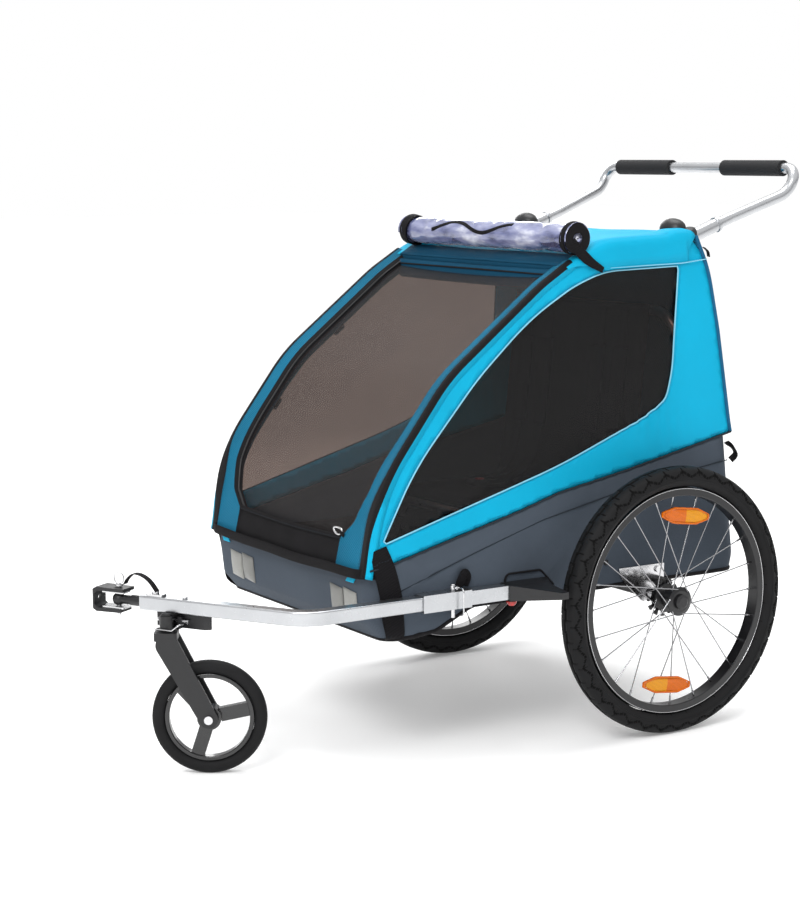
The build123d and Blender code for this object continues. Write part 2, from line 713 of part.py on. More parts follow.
with BuildPart() as sockets:
    for side in SIDES.values():
        add(socket(side, 13, BAR_R + 0.08))
        add(socket(side, 14.5, BAR_R + 0.08, SOCKET_LENGTH - 6, 6))
save(sockets, "handlebar_sockets")

with BuildPart() as knuckles:
    for side in SIDES.values():
        add(block((side * 266 - 19, 72, 884), (side * 266 + 19, 116, 925), 8))
        with Locations((side * 226, 100, 935)):
            Cylinder(15, 26)
        add(block((side * 238 - 14, 88, 924), (side * 238 + 14, 112, 934)))
        add(arch(side), mode=Mode.SUBTRACT)
        add(socket(side, 13, 0, -20, 80), mode=Mode.SUBTRACT)
save(knuckles, "roof_corner_knuckles")

bar_start = Vector(SOCKET_X, *SOCKET_START) + socket_way * 4
bar_free = Vector(SOCKET_X, *SOCKET_START) + socket_way * (SOCKET_LENGTH + 28)
right_half = [tuple(bar_start), tuple(bar_free), (288, 332, 992), (292, BAR_Y, BAR_Z)]
left_half = [(-x, y, z) for x, y, z in reversed(right_half)]
with BuildPart() as handlebar:
    add(swept(right_half + left_half, [60, 50, 30, 30, 50, 60], disc(BAR_R)))
save(handlebar, "handlebar")

with BuildPart() as grips:
    for side in SIDES.values():
        add(cylinder_x(GRIP_R, side * 81, side * 250, BAR_Y, BAR_Z, BAR_R + 0.02))
save(grips, "handlebar_grips")

with BuildPart() as backrest_frame:
    back_start = (BACK_X, RAIL_REAR_Y + 2.2, BACK_PIVOT_Z - 12)
    add(swept([back_start, (BACK_X, BACK_TOP_Y, BACK_TOP_Z), (-BACK_X, BACK_TOP_Y, BACK_TOP_Z),
               (-back_start[0], back_start[1], back_start[2])], 55, disc(BACK_R)))
    add(cylinder_x(PIVOT_HOLE_R, -300, 300, RAIL_REAR_Y, BACK_PIVOT_Z), mode=Mode.SUBTRACT)
save(backrest_frame, "backrest_frame")

# ------------------------------------------------ soft goods, as plain shells of the true outline
WINDOW_LINE = [(-588, 400), (-520, 528), (-388, 678), (-280, 775), (-180, 832), (-110, 856), (62, 861),
               (52, 668), (38, 612), (-21, 579), (-210, 508)]
COVER_REAR_Y = -195.0
ROOF_REAR_Y = 101.0
BAND_TOP_Z = 400.0

cabin_outline = arch_points() + REAR_LINE + SEAM_LINE[::-1]
cabin_inner = arch_points() + REAR_LINE + [(216, 470)] + [(y, z - 90) for y, z in SEAM_LINE[-2::-1]]
tub_outline = [(y, z - GAP) for y, z in SEAM_LINE] + TUB_LOWER
tub_inner = [(-622, 448)] + [(y, z + 90) for y, z in SEAM_LINE[1:-1]] + [(191, 629)] + TUB_LOWER

with BuildPart() as cabin_shell:
    add(side_body(cabin_outline))
    add(side_body(cabin_inner, FABRIC), mode=Mode.SUBTRACT)


def window(inset=0.0):
    """The side window's outline as a face in the Y-Z plane."""
    with BuildSketch(Plane.YZ) as pane:
        with BuildLine():
            Polyline(*WINDOW_LINE, close=True)
        make_face()
        if inset:
            offset(amount=-inset, kind=Kind.INTERSECTION)
    return pane.sketch


def slab(low, high):
    """A part-wide cutting block between two heights and two places along the body."""
    return block((-300, low[0], low[1]), (300, high[0], high[1]))


inside = HALF_WIDTH - FABRIC
with BuildPart() as cabin_fabric:
    add(cabin_shell.part)
    add(block((-inside, -700, 300), (inside, ROOF_REAR_Y, 1000)), mode=Mode.SUBTRACT)
    extrude(window(), amount=400, both=True, mode=Mode.SUBTRACT)
    for side in SIDES.values():
        add(socket(side, 13 + GAP, 0, -20, 80), mode=Mode.SUBTRACT)
        add(block((side * 266 - 20, 71, 883), (side * 266 + 20, 117, 926)), mode=Mode.SUBTRACT)
save(cabin_fabric, "cabin_fabric")

with BuildPart() as side_windows:
    for side in SIDES.values():
        extrude(window(GAP).moved(Location((side * (HALF_WIDTH - 2) - 0.75, 0, 0))), amount=1.5)
save(side_windows, "side_windows")

roof_half = inside - GAP
with BuildPart() as roof_panel:
    add(cabin_shell.part)
    add(block((-roof_half, COVER_REAR_Y + GAP, 820), (roof_half, ROOF_REAR_Y - GAP, 1000)),
        mode=Mode.INTERSECT)
    for side in SIDES.values():
        add(block((side * 266 - 20, 71, 883), (side * 266 + 22, 117, 926)), mode=Mode.SUBTRACT)
        with Locations((side * 226, 100, 930)):
            Cylinder(15.5, 40, mode=Mode.SUBTRACT)
        add(block((side * 238 - 15, 87, 900), (side * 238 + 15, 113, 935)), mode=Mode.SUBTRACT)
save(roof_panel, "roof_panel")

with BuildPart() as front_cover:
    add(cabin_shell.part)
    add(block((-roof_half, -700, 358 + GAP), (roof_half, COVER_REAR_Y - GAP, 1000)), mode=Mode.INTERSECT)
save(front_cover, "front_cover")

with BuildPart() as tub:
    add(side_body(tub_outline))
    add(side_body(tub_inner, FABRIC), mode=Mode.SUBTRACT)
    for side in SIDES.values():
        add(block((side * 290 - 15, -345, FLOOR_Z - 2), (side * 290 + 15, -236, 318)), mode=Mode.SUBTRACT)
        for y, z in PLATE_BOLTS:
            add(cylinder_x(10.5, side * 280, side * 300, y, z), mode=Mode.SUBTRACT)
        with Locations((side * 30, 177, FLOOR_Z)):
            Cylinder(6.5, 20, mode=Mode.SUBTRACT)
save(tub, "lower_tub")

seat_z = SEAT_TUBE_Z + 8.5
with BuildPart() as seat_base:
    add(block((-244, SEAT_FRONT_Y - 8, seat_z), (244, 14, seat_z + 24), 12))
save(seat_base, "seat_base")

with BuildPart() as seat_back:
    with BuildSketch(Plane.YZ):
        with BuildLine():
            Polyline((20, 410), (62, 790), (84, 787), (44, 407), close=True)
        make_face()
    extrude(amount=222, both=True)
save(seat_back, "seat_back")

CHILD_X = 118.0
with BuildPart() as harness:
    for x in (CHILD_X - 34, CHILD_X + 34, -CHILD_X - 34, -CHILD_X + 34):
        with BuildSketch(Plane.YZ.offset(x - 12.5)):
            with BuildLine():
                Polyline((22, 440), (59, 775), (57, 775), (20, 440), close=True)
            make_face()
        extrude(amount=25)
save(harness, "shoulder_straps")

buckle_z = seat_z + 24 + GAP
with BuildPart() as buckles:
    for side in SIDES.values():
        add(block((side * CHILD_X - 20, -124, buckle_z), (side * CHILD_X + 20, -76, buckle_z + 16), 7))
        with Locations((side * CHILD_X, -100, buckle_z + 12)):
            Cylinder(9 + GAP, 9, mode=Mode.SUBTRACT)
save(buckles, "harness_buckles")

for name, side in SIDES.items():
    with BuildPart() as buckle_button:
        with Locations((side * CHILD_X, -100, buckle_z + 14)):
            Cylinder(9, 7)
    save(buckle_button, f"{name}_buckle_button")

with BuildPart() as rain_cover:
    add(cylinder_x(28, -292, 292, -176, 917))
save(rain_cover, "rain_cover_roll")
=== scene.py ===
"""Looks of the child bicycle trailer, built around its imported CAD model. Lengths are in metres.

Outlines are given from the rear axle, as in the CAD source, and at() moves them into the row frame.
"""
import json
import math

import bmesh
import bpy
import numpy as np
from mathutils import Matrix, Vector, noise
from mathutils.geometry import delaunay_2d_cdt

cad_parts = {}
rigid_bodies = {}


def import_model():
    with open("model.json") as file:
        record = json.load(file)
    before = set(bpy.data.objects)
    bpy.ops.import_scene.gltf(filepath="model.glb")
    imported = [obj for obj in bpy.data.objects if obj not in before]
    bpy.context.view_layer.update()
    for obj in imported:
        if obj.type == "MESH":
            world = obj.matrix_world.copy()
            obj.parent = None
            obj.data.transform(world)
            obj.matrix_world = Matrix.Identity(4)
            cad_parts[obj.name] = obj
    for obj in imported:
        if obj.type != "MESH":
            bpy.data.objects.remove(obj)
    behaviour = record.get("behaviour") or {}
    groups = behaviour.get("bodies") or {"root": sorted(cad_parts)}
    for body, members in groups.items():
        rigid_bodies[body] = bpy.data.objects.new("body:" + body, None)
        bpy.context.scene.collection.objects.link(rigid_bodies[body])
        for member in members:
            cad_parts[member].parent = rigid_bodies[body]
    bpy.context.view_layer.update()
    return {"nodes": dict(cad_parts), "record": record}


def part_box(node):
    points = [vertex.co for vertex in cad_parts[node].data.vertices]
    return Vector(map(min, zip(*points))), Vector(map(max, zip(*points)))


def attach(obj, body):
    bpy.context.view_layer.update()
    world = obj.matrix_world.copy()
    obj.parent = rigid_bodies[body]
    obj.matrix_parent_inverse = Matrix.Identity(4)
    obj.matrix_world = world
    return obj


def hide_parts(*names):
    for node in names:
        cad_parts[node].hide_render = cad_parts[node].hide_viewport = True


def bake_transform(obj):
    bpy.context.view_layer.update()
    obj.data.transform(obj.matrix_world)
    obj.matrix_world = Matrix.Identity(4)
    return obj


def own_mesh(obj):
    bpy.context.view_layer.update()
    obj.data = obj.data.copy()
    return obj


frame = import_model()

# ---- places taken from the frame
SIDES = {"left": 1, "right": -1}
AXLE = sum(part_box("axle_tube"), Vector()) / 2
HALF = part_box("cabin_fabric")[1].x               # outside of the fabric body
ROLL = sum(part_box("rain_cover_roll"), Vector()) / 2
COVER_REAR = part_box("front_cover")[1].y - AXLE.y

ARCH_LINE = [(-0.622, 0.345), (-0.588, 0.5), (-0.451, 0.68), (-0.25, 0.836), (-0.125, 0.912), (0.088, 0.922)]
ARCH_BENDS = [0.32, 0.32, 0.32, 0.11]
REAR_LINE = [(0.104, 0.915), (0.135, 0.854), (0.162, 0.739), (0.194, 0.562), (0.199, 0.541)]
SEAM_LINE = [(-0.613, 0.358), (-0.572, 0.364), (-0.298, 0.433), (-0.209, 0.459), (-0.056, 0.487), (0.199, 0.541)]
WINDOW_LINE = [(-0.588, 0.4), (-0.52, 0.528), (-0.388, 0.678), (-0.28, 0.775), (-0.18, 0.832), (-0.11, 0.856),
               (0.062, 0.861), (0.052, 0.668), (0.038, 0.612), (-0.021, 0.579), (-0.21, 0.508)]
WINDOW_BENDS = [0.004, 0.5, 0.6, 0.5, 0.3, 0.2, 0.004, 0.3, 0.045, 0.2, 1.2]
TUB_SEAM = [(-0.55, 0.317), (-0.394, 0.368), (-0.244, 0.413), (-0.092, 0.444), (-0.008, 0.461), (0.19, 0.487)]
TUB_CORNER = 0.038                               # radius of the tub's corners in plan


def at(x, y, z):
    """A point given from the rear axle, in the row frame."""
    return Vector((x, y + AXLE.y, z))


def rounded(points, bends, closed=False, steps=7):
    """An outline in a plane with its corners rounded."""
    pts = [np.array(p, float) for p in points]
    if closed:
        corners = [(pts[i - 1], pts[i], pts[(i + 1) % len(pts)], bends[i]) for i in range(len(pts))]
    else:
        corners = list(zip(pts, pts[1:], pts[2:], bends))
    found = [] if closed else [pts[0]]
    for before, corner, after, bend in corners:
        u = (before - corner) / np.linalg.norm(before - corner)
        w = (after - corner) / np.linalg.norm(after - corner)
        half = math.acos(np.clip(u @ w, -1, 1)) / 2
        room = 0.46 * min(np.linalg.norm(before - corner), np.linalg.norm(after - corner))
        reach = min(bend / math.tan(half), room)
        radius = reach * math.tan(half)
        centre = corner + (u + w) / np.linalg.norm(u + w) * radius / math.sin(half)
        a = corner + u * reach - centre
        b = corner + w * reach - centre
        turn = math.pi - 2 * half
        for i in range(steps + 1):
            f = i / steps
            found.append(centre + (math.sin((1 - f) * turn) * a + math.sin(f * turn) * b) / math.sin(turn))
    if not closed:
        found.append(pts[-1])
    return np.array(found)


class Outline:
    """An outline in the Y-Z plane, read by the length along it."""

    def __init__(self, points):
        self.points = points
        self.s = np.concatenate([[0], np.cumsum(np.linalg.norm(np.diff(points, axis=0), axis=1))])
        self.length = self.s[-1]

    def yz(self, s):
        return np.array([np.interp(s, self.s, self.points[:, 0]), np.interp(s, self.s, self.points[:, 1])])

    def outward(self, s):
        step = 0.006
        t = self.yz(min(s + step, self.length)) - self.yz(max(s - step, 0))
        t /= np.linalg.norm(t)
        return np.array([-t[1], t[0]])

    def point(self, x, s, h=0.0):
        y, z = self.yz(s) + self.outward(s) * h
        return at(x, y, z)

    def s_at_y(self, y):
        return float(np.interp(y, self.points[:, 0], self.s))


ARCH = Outline(rounded(ARCH_LINE + REAR_LINE, ARCH_BENDS + [0.01, 0.05, 0.3, 0.4, 0.01]))
S_COVER = ARCH.s_at_y(COVER_REAR)
S_ROOF = ARCH.s_at_y(0.101)
S_END = ARCH.length


def height_on(line, y):
    return float(np.interp(y, *zip(*line)))


def smooth_step(a, b, v):
    f = min(max((v - a) / (b - a), 0.0), 1.0)
    return f * f * (3 - 2 * f)


def wobble(p, scale, seed=0.0):
    """Smooth noise between about -1 and 1."""
    return noise.noise(Vector(p) * scale + Vector((seed, seed * 1.7, -seed)))


# ---- mesh tools
def placed(name, data):
    obj = bpy.data.objects.new(name, data)
    bpy.context.scene.collection.objects.link(obj)
    return obj


def piece(name, verts, faces, materials, body=None, index=None):
    """A mesh in the scene, with its materials given by their names in MAT."""
    mesh = bpy.data.meshes.new(name)
    mesh.from_pydata([tuple(v) for v in verts], [], faces)
    for material in [materials] if isinstance(materials, str) else materials:
        mesh.materials.append(MAT[material])
    if index is not None:
        mesh.polygons.foreach_set("material_index", index)
    mesh.polygons.foreach_set("use_smooth", [True] * len(faces))
    mesh.update()
    obj = placed(name, mesh)
    if body:
        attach(obj, body)
    return obj


def thicken(obj, thickness, offset=-1.0):
    mod = obj.modifiers.new("thickness", "SOLIDIFY")
    mod.thickness = thickness
    mod.offset = offset
    return obj


def rows_of(us, vs, point):
    """Rows of points, one row for each u, from a function of u and v."""
    return [[point(u, v) for v in vs] for u in us]


def turns(n):
    """Angles evenly spaced round a circle."""
    return [2 * math.pi * i / n for i in range(n)]


def grid(name, rows, materials, body=None, column_material=None, loop=False):
    """A sheet from rows of points, with its material chosen by column."""
    n = len(rows[0])
    verts = [p for row in rows for p in row]
    faces = []
    index = []
    for i in range(len(rows) - 1):
        for j in range(n if loop else n - 1):
            k = (j + 1) % n
            faces.append((i * n + j, i * n + k, (i + 1) * n + k, (i + 1) * n + j))
            index.append(column_material[j] if column_material else 0)
    return piece(name, verts, faces, materials, body, index)


def inside(polygon, p):
    """True if a point lies within a polygon."""
    x, y = p
    a = polygon
    b = np.roll(polygon, -1, axis=0)
    cross = (a[:, 1] > y) != (b[:, 1] > y)
    with np.errstate(divide="ignore", invalid="ignore"):
        where = a[:, 0] + (y - a[:, 1]) * (b[:, 0] - a[:, 0]) / (b[:, 1] - a[:, 1])
    return bool(np.count_nonzero(cross & (x < where)) % 2)


def spaced(points, pitch, closed=True):
    """Points evenly spaced along an outline."""
    pts = np.vstack([points, points[:1]]) if closed else np.asarray(points, float)
    s = np.concatenate([[0], np.cumsum(np.linalg.norm(np.diff(pts, axis=0), axis=1))])
    count = max(3, round(s[-1] / pitch))
    t = np.linspace(0, s[-1], count + 1)
    if closed:
        t = t[:-1]
    return np.array([[np.interp(v, s, pts[:, k]) for k in range(pts.shape[1])] for v in t])


def region(name, outline, holes, pitch, place, materials, pick=None, flip=False):
    """A sheet cut to an outline with holes, filled with even triangles and put in place by a function."""
    loops = [spaced(outline, pitch)] + [spaced(h, pitch) for h in holes]
    verts = [tuple(p) for loop in loops for p in loop]
    edges = []
    start = 0
    for loop in loops:
        edges += [(start + i, start + (i + 1) % len(loop)) for i in range(len(loop))]
        start += len(loop)
    border = np.array(verts)
    low = border.min(0)
    high = border.max(0)
    step = pitch * 0.866
    for r in range(int((high[1] - low[1]) / step) + 1):
        for c in range(int((high[0] - low[0]) / pitch) + 2):
            p = (low[0] + (c + 0.5 * (r % 2)) * pitch, low[1] + r * step)
            near = np.min(np.sum((border - p) ** 2, axis=1))
            if near > (0.55 * pitch) ** 2 and inside(loops[0], p) and not any(inside(h, p) for h in loops[1:]):
                verts.append(p)
    found, _, faces, _, _, _ = delaunay_2d_cdt([Vector(v) for v in verts], edges, [], 0, 1e-7)
    kept = []
    index = []
    for face in faces:
        mid = sum((found[i] for i in face), Vector((0, 0))) / len(face)
        if inside(loops[0], mid) and not any(inside(h, mid) for h in loops[1:]):
            kept.append(tuple(reversed(face)) if flip else tuple(face))
            index.append(pick(*mid) if pick else 0)
    return piece(name, [place(v[0], v[1]) for v in found], kept, materials, None, index)


def curve_through(points, step=0.004):
    """A smooth line through points, evenly divided."""
    pts = [Vector(p) for p in points]
    pts = [2 * pts[0] - pts[1]] + pts + [2 * pts[-1] - pts[-2]]
    out = []
    for a, b, c, d in zip(pts, pts[1:], pts[2:], pts[3:]):
        n = max(1, round((c - b).length / step))
        for i in range(n):
            t = i / n
            out.append(0.5 * (2 * b + (c - a) * t + (2 * a - 5 * b + 4 * c - d) * t * t
                              + (3 * b - a - 3 * c + d) * t ** 3))
    out.append(pts[-2])
    return out


def ring_profile(radius, n=10):
    return [(radius * math.cos(a), radius * math.sin(a)) for a in turns(n)]


def flat_profile(width, thick):
    """A webbing's section, with softened edges."""
    w, t = width / 2, thick / 2
    return [(-w, -t * 0.4), (-w + t, -t), (0, -t), (w - t, -t), (w, -t * 0.4),
            (w, t * 0.4), (w - t, t), (0, t), (-w + t, t), (-w, t * 0.4)]


def sweep(name, points, profile, material, body=None, slot=None, up=(1, 0, 0), closed=False, scale=None):
    """A section carried along a line, its second direction kept near up."""
    n = len(profile)
    count = len(points)
    verts = []
    for i, p in enumerate(points):
        before = points[i - 1] if i or closed else p
        after = points[(i + 1) % count] if i < count - 1 or closed else p
        t = (Vector(after) - Vector(before)).normalized()
        u = Vector(up(i)) if callable(up) else Vector(up)
        side = t.cross(u).normalized()
        top = side.cross(t).normalized()
        k = scale(i / (count - 1)) if scale else 1.0
        verts += [Vector(p) + side * a * k + top * b * k for a, b in profile]
    faces = []
    for i in range(count if closed else count - 1):
        j = (i + 1) % count
        faces += [(i * n + a, i * n + (a + 1) % n, j * n + (a + 1) % n, j * n + a) for a in range(n)]
    if not closed:
        faces.append(tuple(reversed(range(n))))
        faces.append(tuple((count - 1) * n + a for a in range(n)))
    return piece(name, verts, faces, material, body)


def tube(name, points, radius, material, body=None, slot=None, closed=False, n=8, up=(1, 0, 0)):
    return sweep(name, points, ring_profile(radius, n), material, body, slot, up, closed)


def tape(name, points, width, thick, body="root", up=(1, 0, 0), material="webbing", slot="webbing", **more):
    """A flat band along a line."""
    return sweep(name, points, flat_profile(width, thick), material, body, slot, up, **more)


def stitches(name, points, out, material, body=None, pitch=0.0055, length=0.0034, radius=0.0005):
    """A row of stitches along a line, standing a little proud along out."""
    line = spaced(np.array([tuple(p) for p in points]), pitch, closed=False)
    verts = []
    faces = []
    for i in range(len(line) - 1):
        a = Vector(line[i])
        t = (Vector(line[i + 1]) - a).normalized()
        o = Vector(out).normalized()
        side = t.cross(o).normalized()
        for end in (a, a + t * length / 2, a + t * length):
            lift = 1.0 if end is not a and (end - a).length < length * 0.9 else 0.1
            verts += [end + side * radius + o * radius * 0.2, end + o * radius * (0.4 + lift), end - side * radius]
        b = len(verts) - 9
        for k in (0, 3):
            faces += [(b + k, b + k + 1, b + k + 4, b + k + 3), (b + k + 1, b + k + 2, b + k + 5, b + k + 4)]
    return piece(name, verts, faces, material, body)


def lathe(name, profile, place, material, body, n):
    """A profile of (along, radius) turned about an axis; place(along, radius, angle) gives the point."""
    rows = rows_of(profile, turns(n), lambda p, angle: place(p[0], p[1], angle))
    return grid(name, rows, material, body, loop=True)


# ---- materials
class Nodes:
    """The node tree of a material or world. An input is linked if it is given a socket, and set if not."""

    def __init__(self, owner):
        owner.use_nodes = True
        self.tree = owner.node_tree

    def put(self, node, values):
        for key, value in values.items():
            if isinstance(value, bpy.types.NodeSocket):
                self.tree.links.new(value, node.inputs[key])
            else:
                node.inputs[key].default_value = value
        return node

    def new(self, kind, values=None, **settings):
        node = self.tree.nodes.new("ShaderNode" + kind)
        for key, value in settings.items():
            setattr(node, key, value)
        return self.put(node, values or {})

    def maths(self, operation, *values):
        return self.new("Math", dict(enumerate(values)), operation=operation).outputs[0]

    def times(self, value, factor):
        return self.maths("MULTIPLY", value, factor)

    def plus(self, value, more):
        return self.maths("ADD", value, more)

    def ramp(self, value, stops):
        node = self.new("ValToRGB", {0: value})
        elements = node.color_ramp.elements
        while len(elements) < len(stops):
            elements.new(0.5)
        for element, (position, colour) in zip(elements, stops):
            element.position = position
            element.color = colour
        return node.outputs[0]


class Look(Nodes):
    """A material in the making, its patterns taken from object coordinates."""

    def __init__(self, name):
        self.material = bpy.data.materials.new(name)
        super().__init__(self.material)
        self.bsdf = self.tree.nodes["Principled BSDF"]
        self.coords = self.new("TexCoord").outputs["Object"]

    def surface(self, values):
        self.put(self.bsdf, values)

    def ripple(self, direction, pitch):
        """A sine along a direction, from -1 to 1."""
        dot = self.new("VectorMath", {0: self.coords, 1: Vector(direction).normalized()}, operation="DOT_PRODUCT")
        return self.maths("SINE", self.times(dot.outputs["Value"], 2 * math.pi / pitch))

    def noise(self, scale, detail=3.0, stretch=None):
        coords = self.coords
        if stretch:
            coords = self.new("Mapping", {"Scale": stretch, "Vector": coords}).outputs[0]
        return self.new("TexNoise", {"Scale": scale, "Detail": detail, "Vector": coords}).outputs["Fac"]

    def tones(self, value, colour, *stops):
        """Base colour from a value, with stops of (position, how much lighter than the colour)."""
        shades = [(position, tuple(min(1.0, c * k) for c in colour) + (1.0,)) for position, k in stops]
        self.surface({"Base Color": self.ramp(value, shades)})

    def bump(self, height, distance, strength=1.0, below=None):
        values = {"Distance": distance, "Strength": strength, "Height": height}
        if below:
            values["Normal"] = below
        normal = self.new("Bump", values).outputs[0]
        self.surface({"Normal": normal})
        return normal


def fabric(name, colour, pitch=0.0016, spread=0.16, rough=0.75, depth=0.0003, wrinkle=0.0012, rib=None):
    """Woven cloth: threads that cross over and under on every face, faint creases and uneven dye."""
    look = Look(name)
    warp, weft = (look.maths("ABSOLUTE", look.ripple(way, pitch)) for way in ((1, 1, 0.08), (-1, 1, 1.25)))
    threads = look.times(look.plus(warp, weft), 0.5)
    if rib:
        threads = look.plus(threads, look.times(look.ripple((1, 0.35, -0.8), rib), 0.55))
    tone = look.plus(look.times(look.noise(6.0, 4.0), 0.6), look.times(threads, 0.4))
    look.tones(tone, colour, (0.2, 1 - spread), (0.8, 1 + spread))
    look.surface({"Roughness": rough, "Specular IOR Level": 0.15})
    creases = look.bump(look.noise(22.0, 2.0), wrinkle)
    look.bump(threads, depth, 0.8, creases)
    return look.material


def plastic(name, colour, rough=0.45, grain=0.00012, scale=900.0, coat=0.0):
    """Moulded plastic with a fine grain and scuffs."""
    look = Look(name)
    scuffs = look.noise(40.0, 5.0)
    look.tones(scuffs, colour, (0.3, 0.8), (0.75, 1.35))
    look.surface({"Roughness": look.plus(look.times(scuffs, 0.2), rough - 0.1), "Coat Weight": coat,
                  "Coat Roughness": 0.08})
    look.bump(look.noise(scale, 2.0), grain)
    return look.material


def metal(name, colour, rough, stretch=(1, 1, 1)):
    """Drawn or plated metal with fine lines along its length."""
    look = Look(name)
    lines = look.noise(260.0, 3.0, stretch)
    look.tones(look.noise(14.0), colour, (0.3, 0.93), (0.7, 1.05))
    look.surface({"Metallic": 1.0, "Roughness": look.plus(look.times(lines, 0.16), rough - 0.08)})
    look.bump(lines, 0.000002)
    return look.material


def rubber(name, colour, rough):
    """Tyre rubber with dusty patches here and there; a near-black copy of it paints the shade in the tread's
    grooves.
    """
    look = Look(name)
    dust = look.noise(30.0, 6.0)
    look.tones(dust, colour, (0.35, 0.75), (0.8, 1.5))
    look.surface({"Roughness": look.plus(look.times(dust, 0.2), rough - 0.1), "Specular IOR Level": 0.22})
    look.bump(look.noise(600.0), 0.00006)
    return look.material


def foam(name, colour):
    look = Look(name)
    cells = look.new("TexVoronoi", {"Scale": 900.0, "Vector": look.coords}).outputs["Distance"]
    look.tones(cells, colour, (0.1, 0.7), (0.6, 1.4))
    look.surface({"Roughness": 0.85})
    look.bump(cells, 0.0003)
    return look.material


def see_through(name, colour, tint, share, rough, pitch=None, swing=0.0):
    """A film or net: share of it is cloth or film, and the rest lets tinted light through."""
    look = Look(name)
    cloud = look.noise(9.0)
    look.tones(cloud, colour, (0.3, 0.8), (0.7, 1.25))
    look.surface({"Roughness": rough})
    if pitch:
        threads = look.times(look.ripple((0.8, 0.5, 0.75), pitch), swing)
        cross = look.times(look.ripple((1, -0.6, -0.1), pitch * 1.7), swing * 0.6)
        patches = look.times(look.maths("SUBTRACT", cloud, 0.5), 0.15)
        share = look.plus(look.plus(look.plus(threads, cross), patches), share)
        look.bump(threads, 0.0004)
    else:
        look.bump(look.noise(12.0, 2.0), 0.001)
    clear = look.new("BsdfTransparent", {"Color": tint + (1.0,)})
    mix = look.new("MixShader", {0: share, 1: clear.outputs[0], 2: look.bsdf.outputs[0]})
    look.put(look.tree.nodes["Material Output"], {"Surface": mix.outputs[0]})
    return look.material


def lens_material(name, colour):
    """Prismatic reflector lens with a fine diamond pattern."""
    look = Look(name)
    prisms = look.times(look.ripple((0, 1, 1), 0.0034), look.ripple((0, 1, -1), 0.0034))
    look.tones(prisms, colour, (0.0, 0.62), (0.5, 1.25))
    look.surface({"Roughness": 0.18, "Coat Weight": 0.3, "Coat Roughness": 0.04, "Specular IOR Level": 0.2})
    look.bump(prisms, 0.0004)
    return look.material


def rolled_film(name):
    """Rolled clear film: layered blue-violet depths, with painted highlights along its creases and streaks."""
    look = Look(name)
    folds = look.noise(26.0, 4.0, (0.45, 1.3, 1.3))
    highlight_streaks = look.noise(70.0, 2.0, (0.3, 1, 1))
    tone = look.plus(look.times(folds, 0.75), look.times(highlight_streaks, 0.25))
    # The near-white last stop paints highlights on the creases and streaks.
    stops = [(0.36, (0.045, 0.05, 0.12, 1)), (0.46, (0.17, 0.19, 0.36, 1)), (0.56, (0.3, 0.32, 0.5, 1)),
             (0.68, (0.8, 0.82, 0.92, 1))]
    look.surface({"Base Color": look.ramp(tone, stops), "Roughness": 0.13, "Coat Weight": 1.0,
                  "Coat Roughness": 0.05, "Alpha": 0.86})
    look.bump(tone, 0.006)
    return look.material


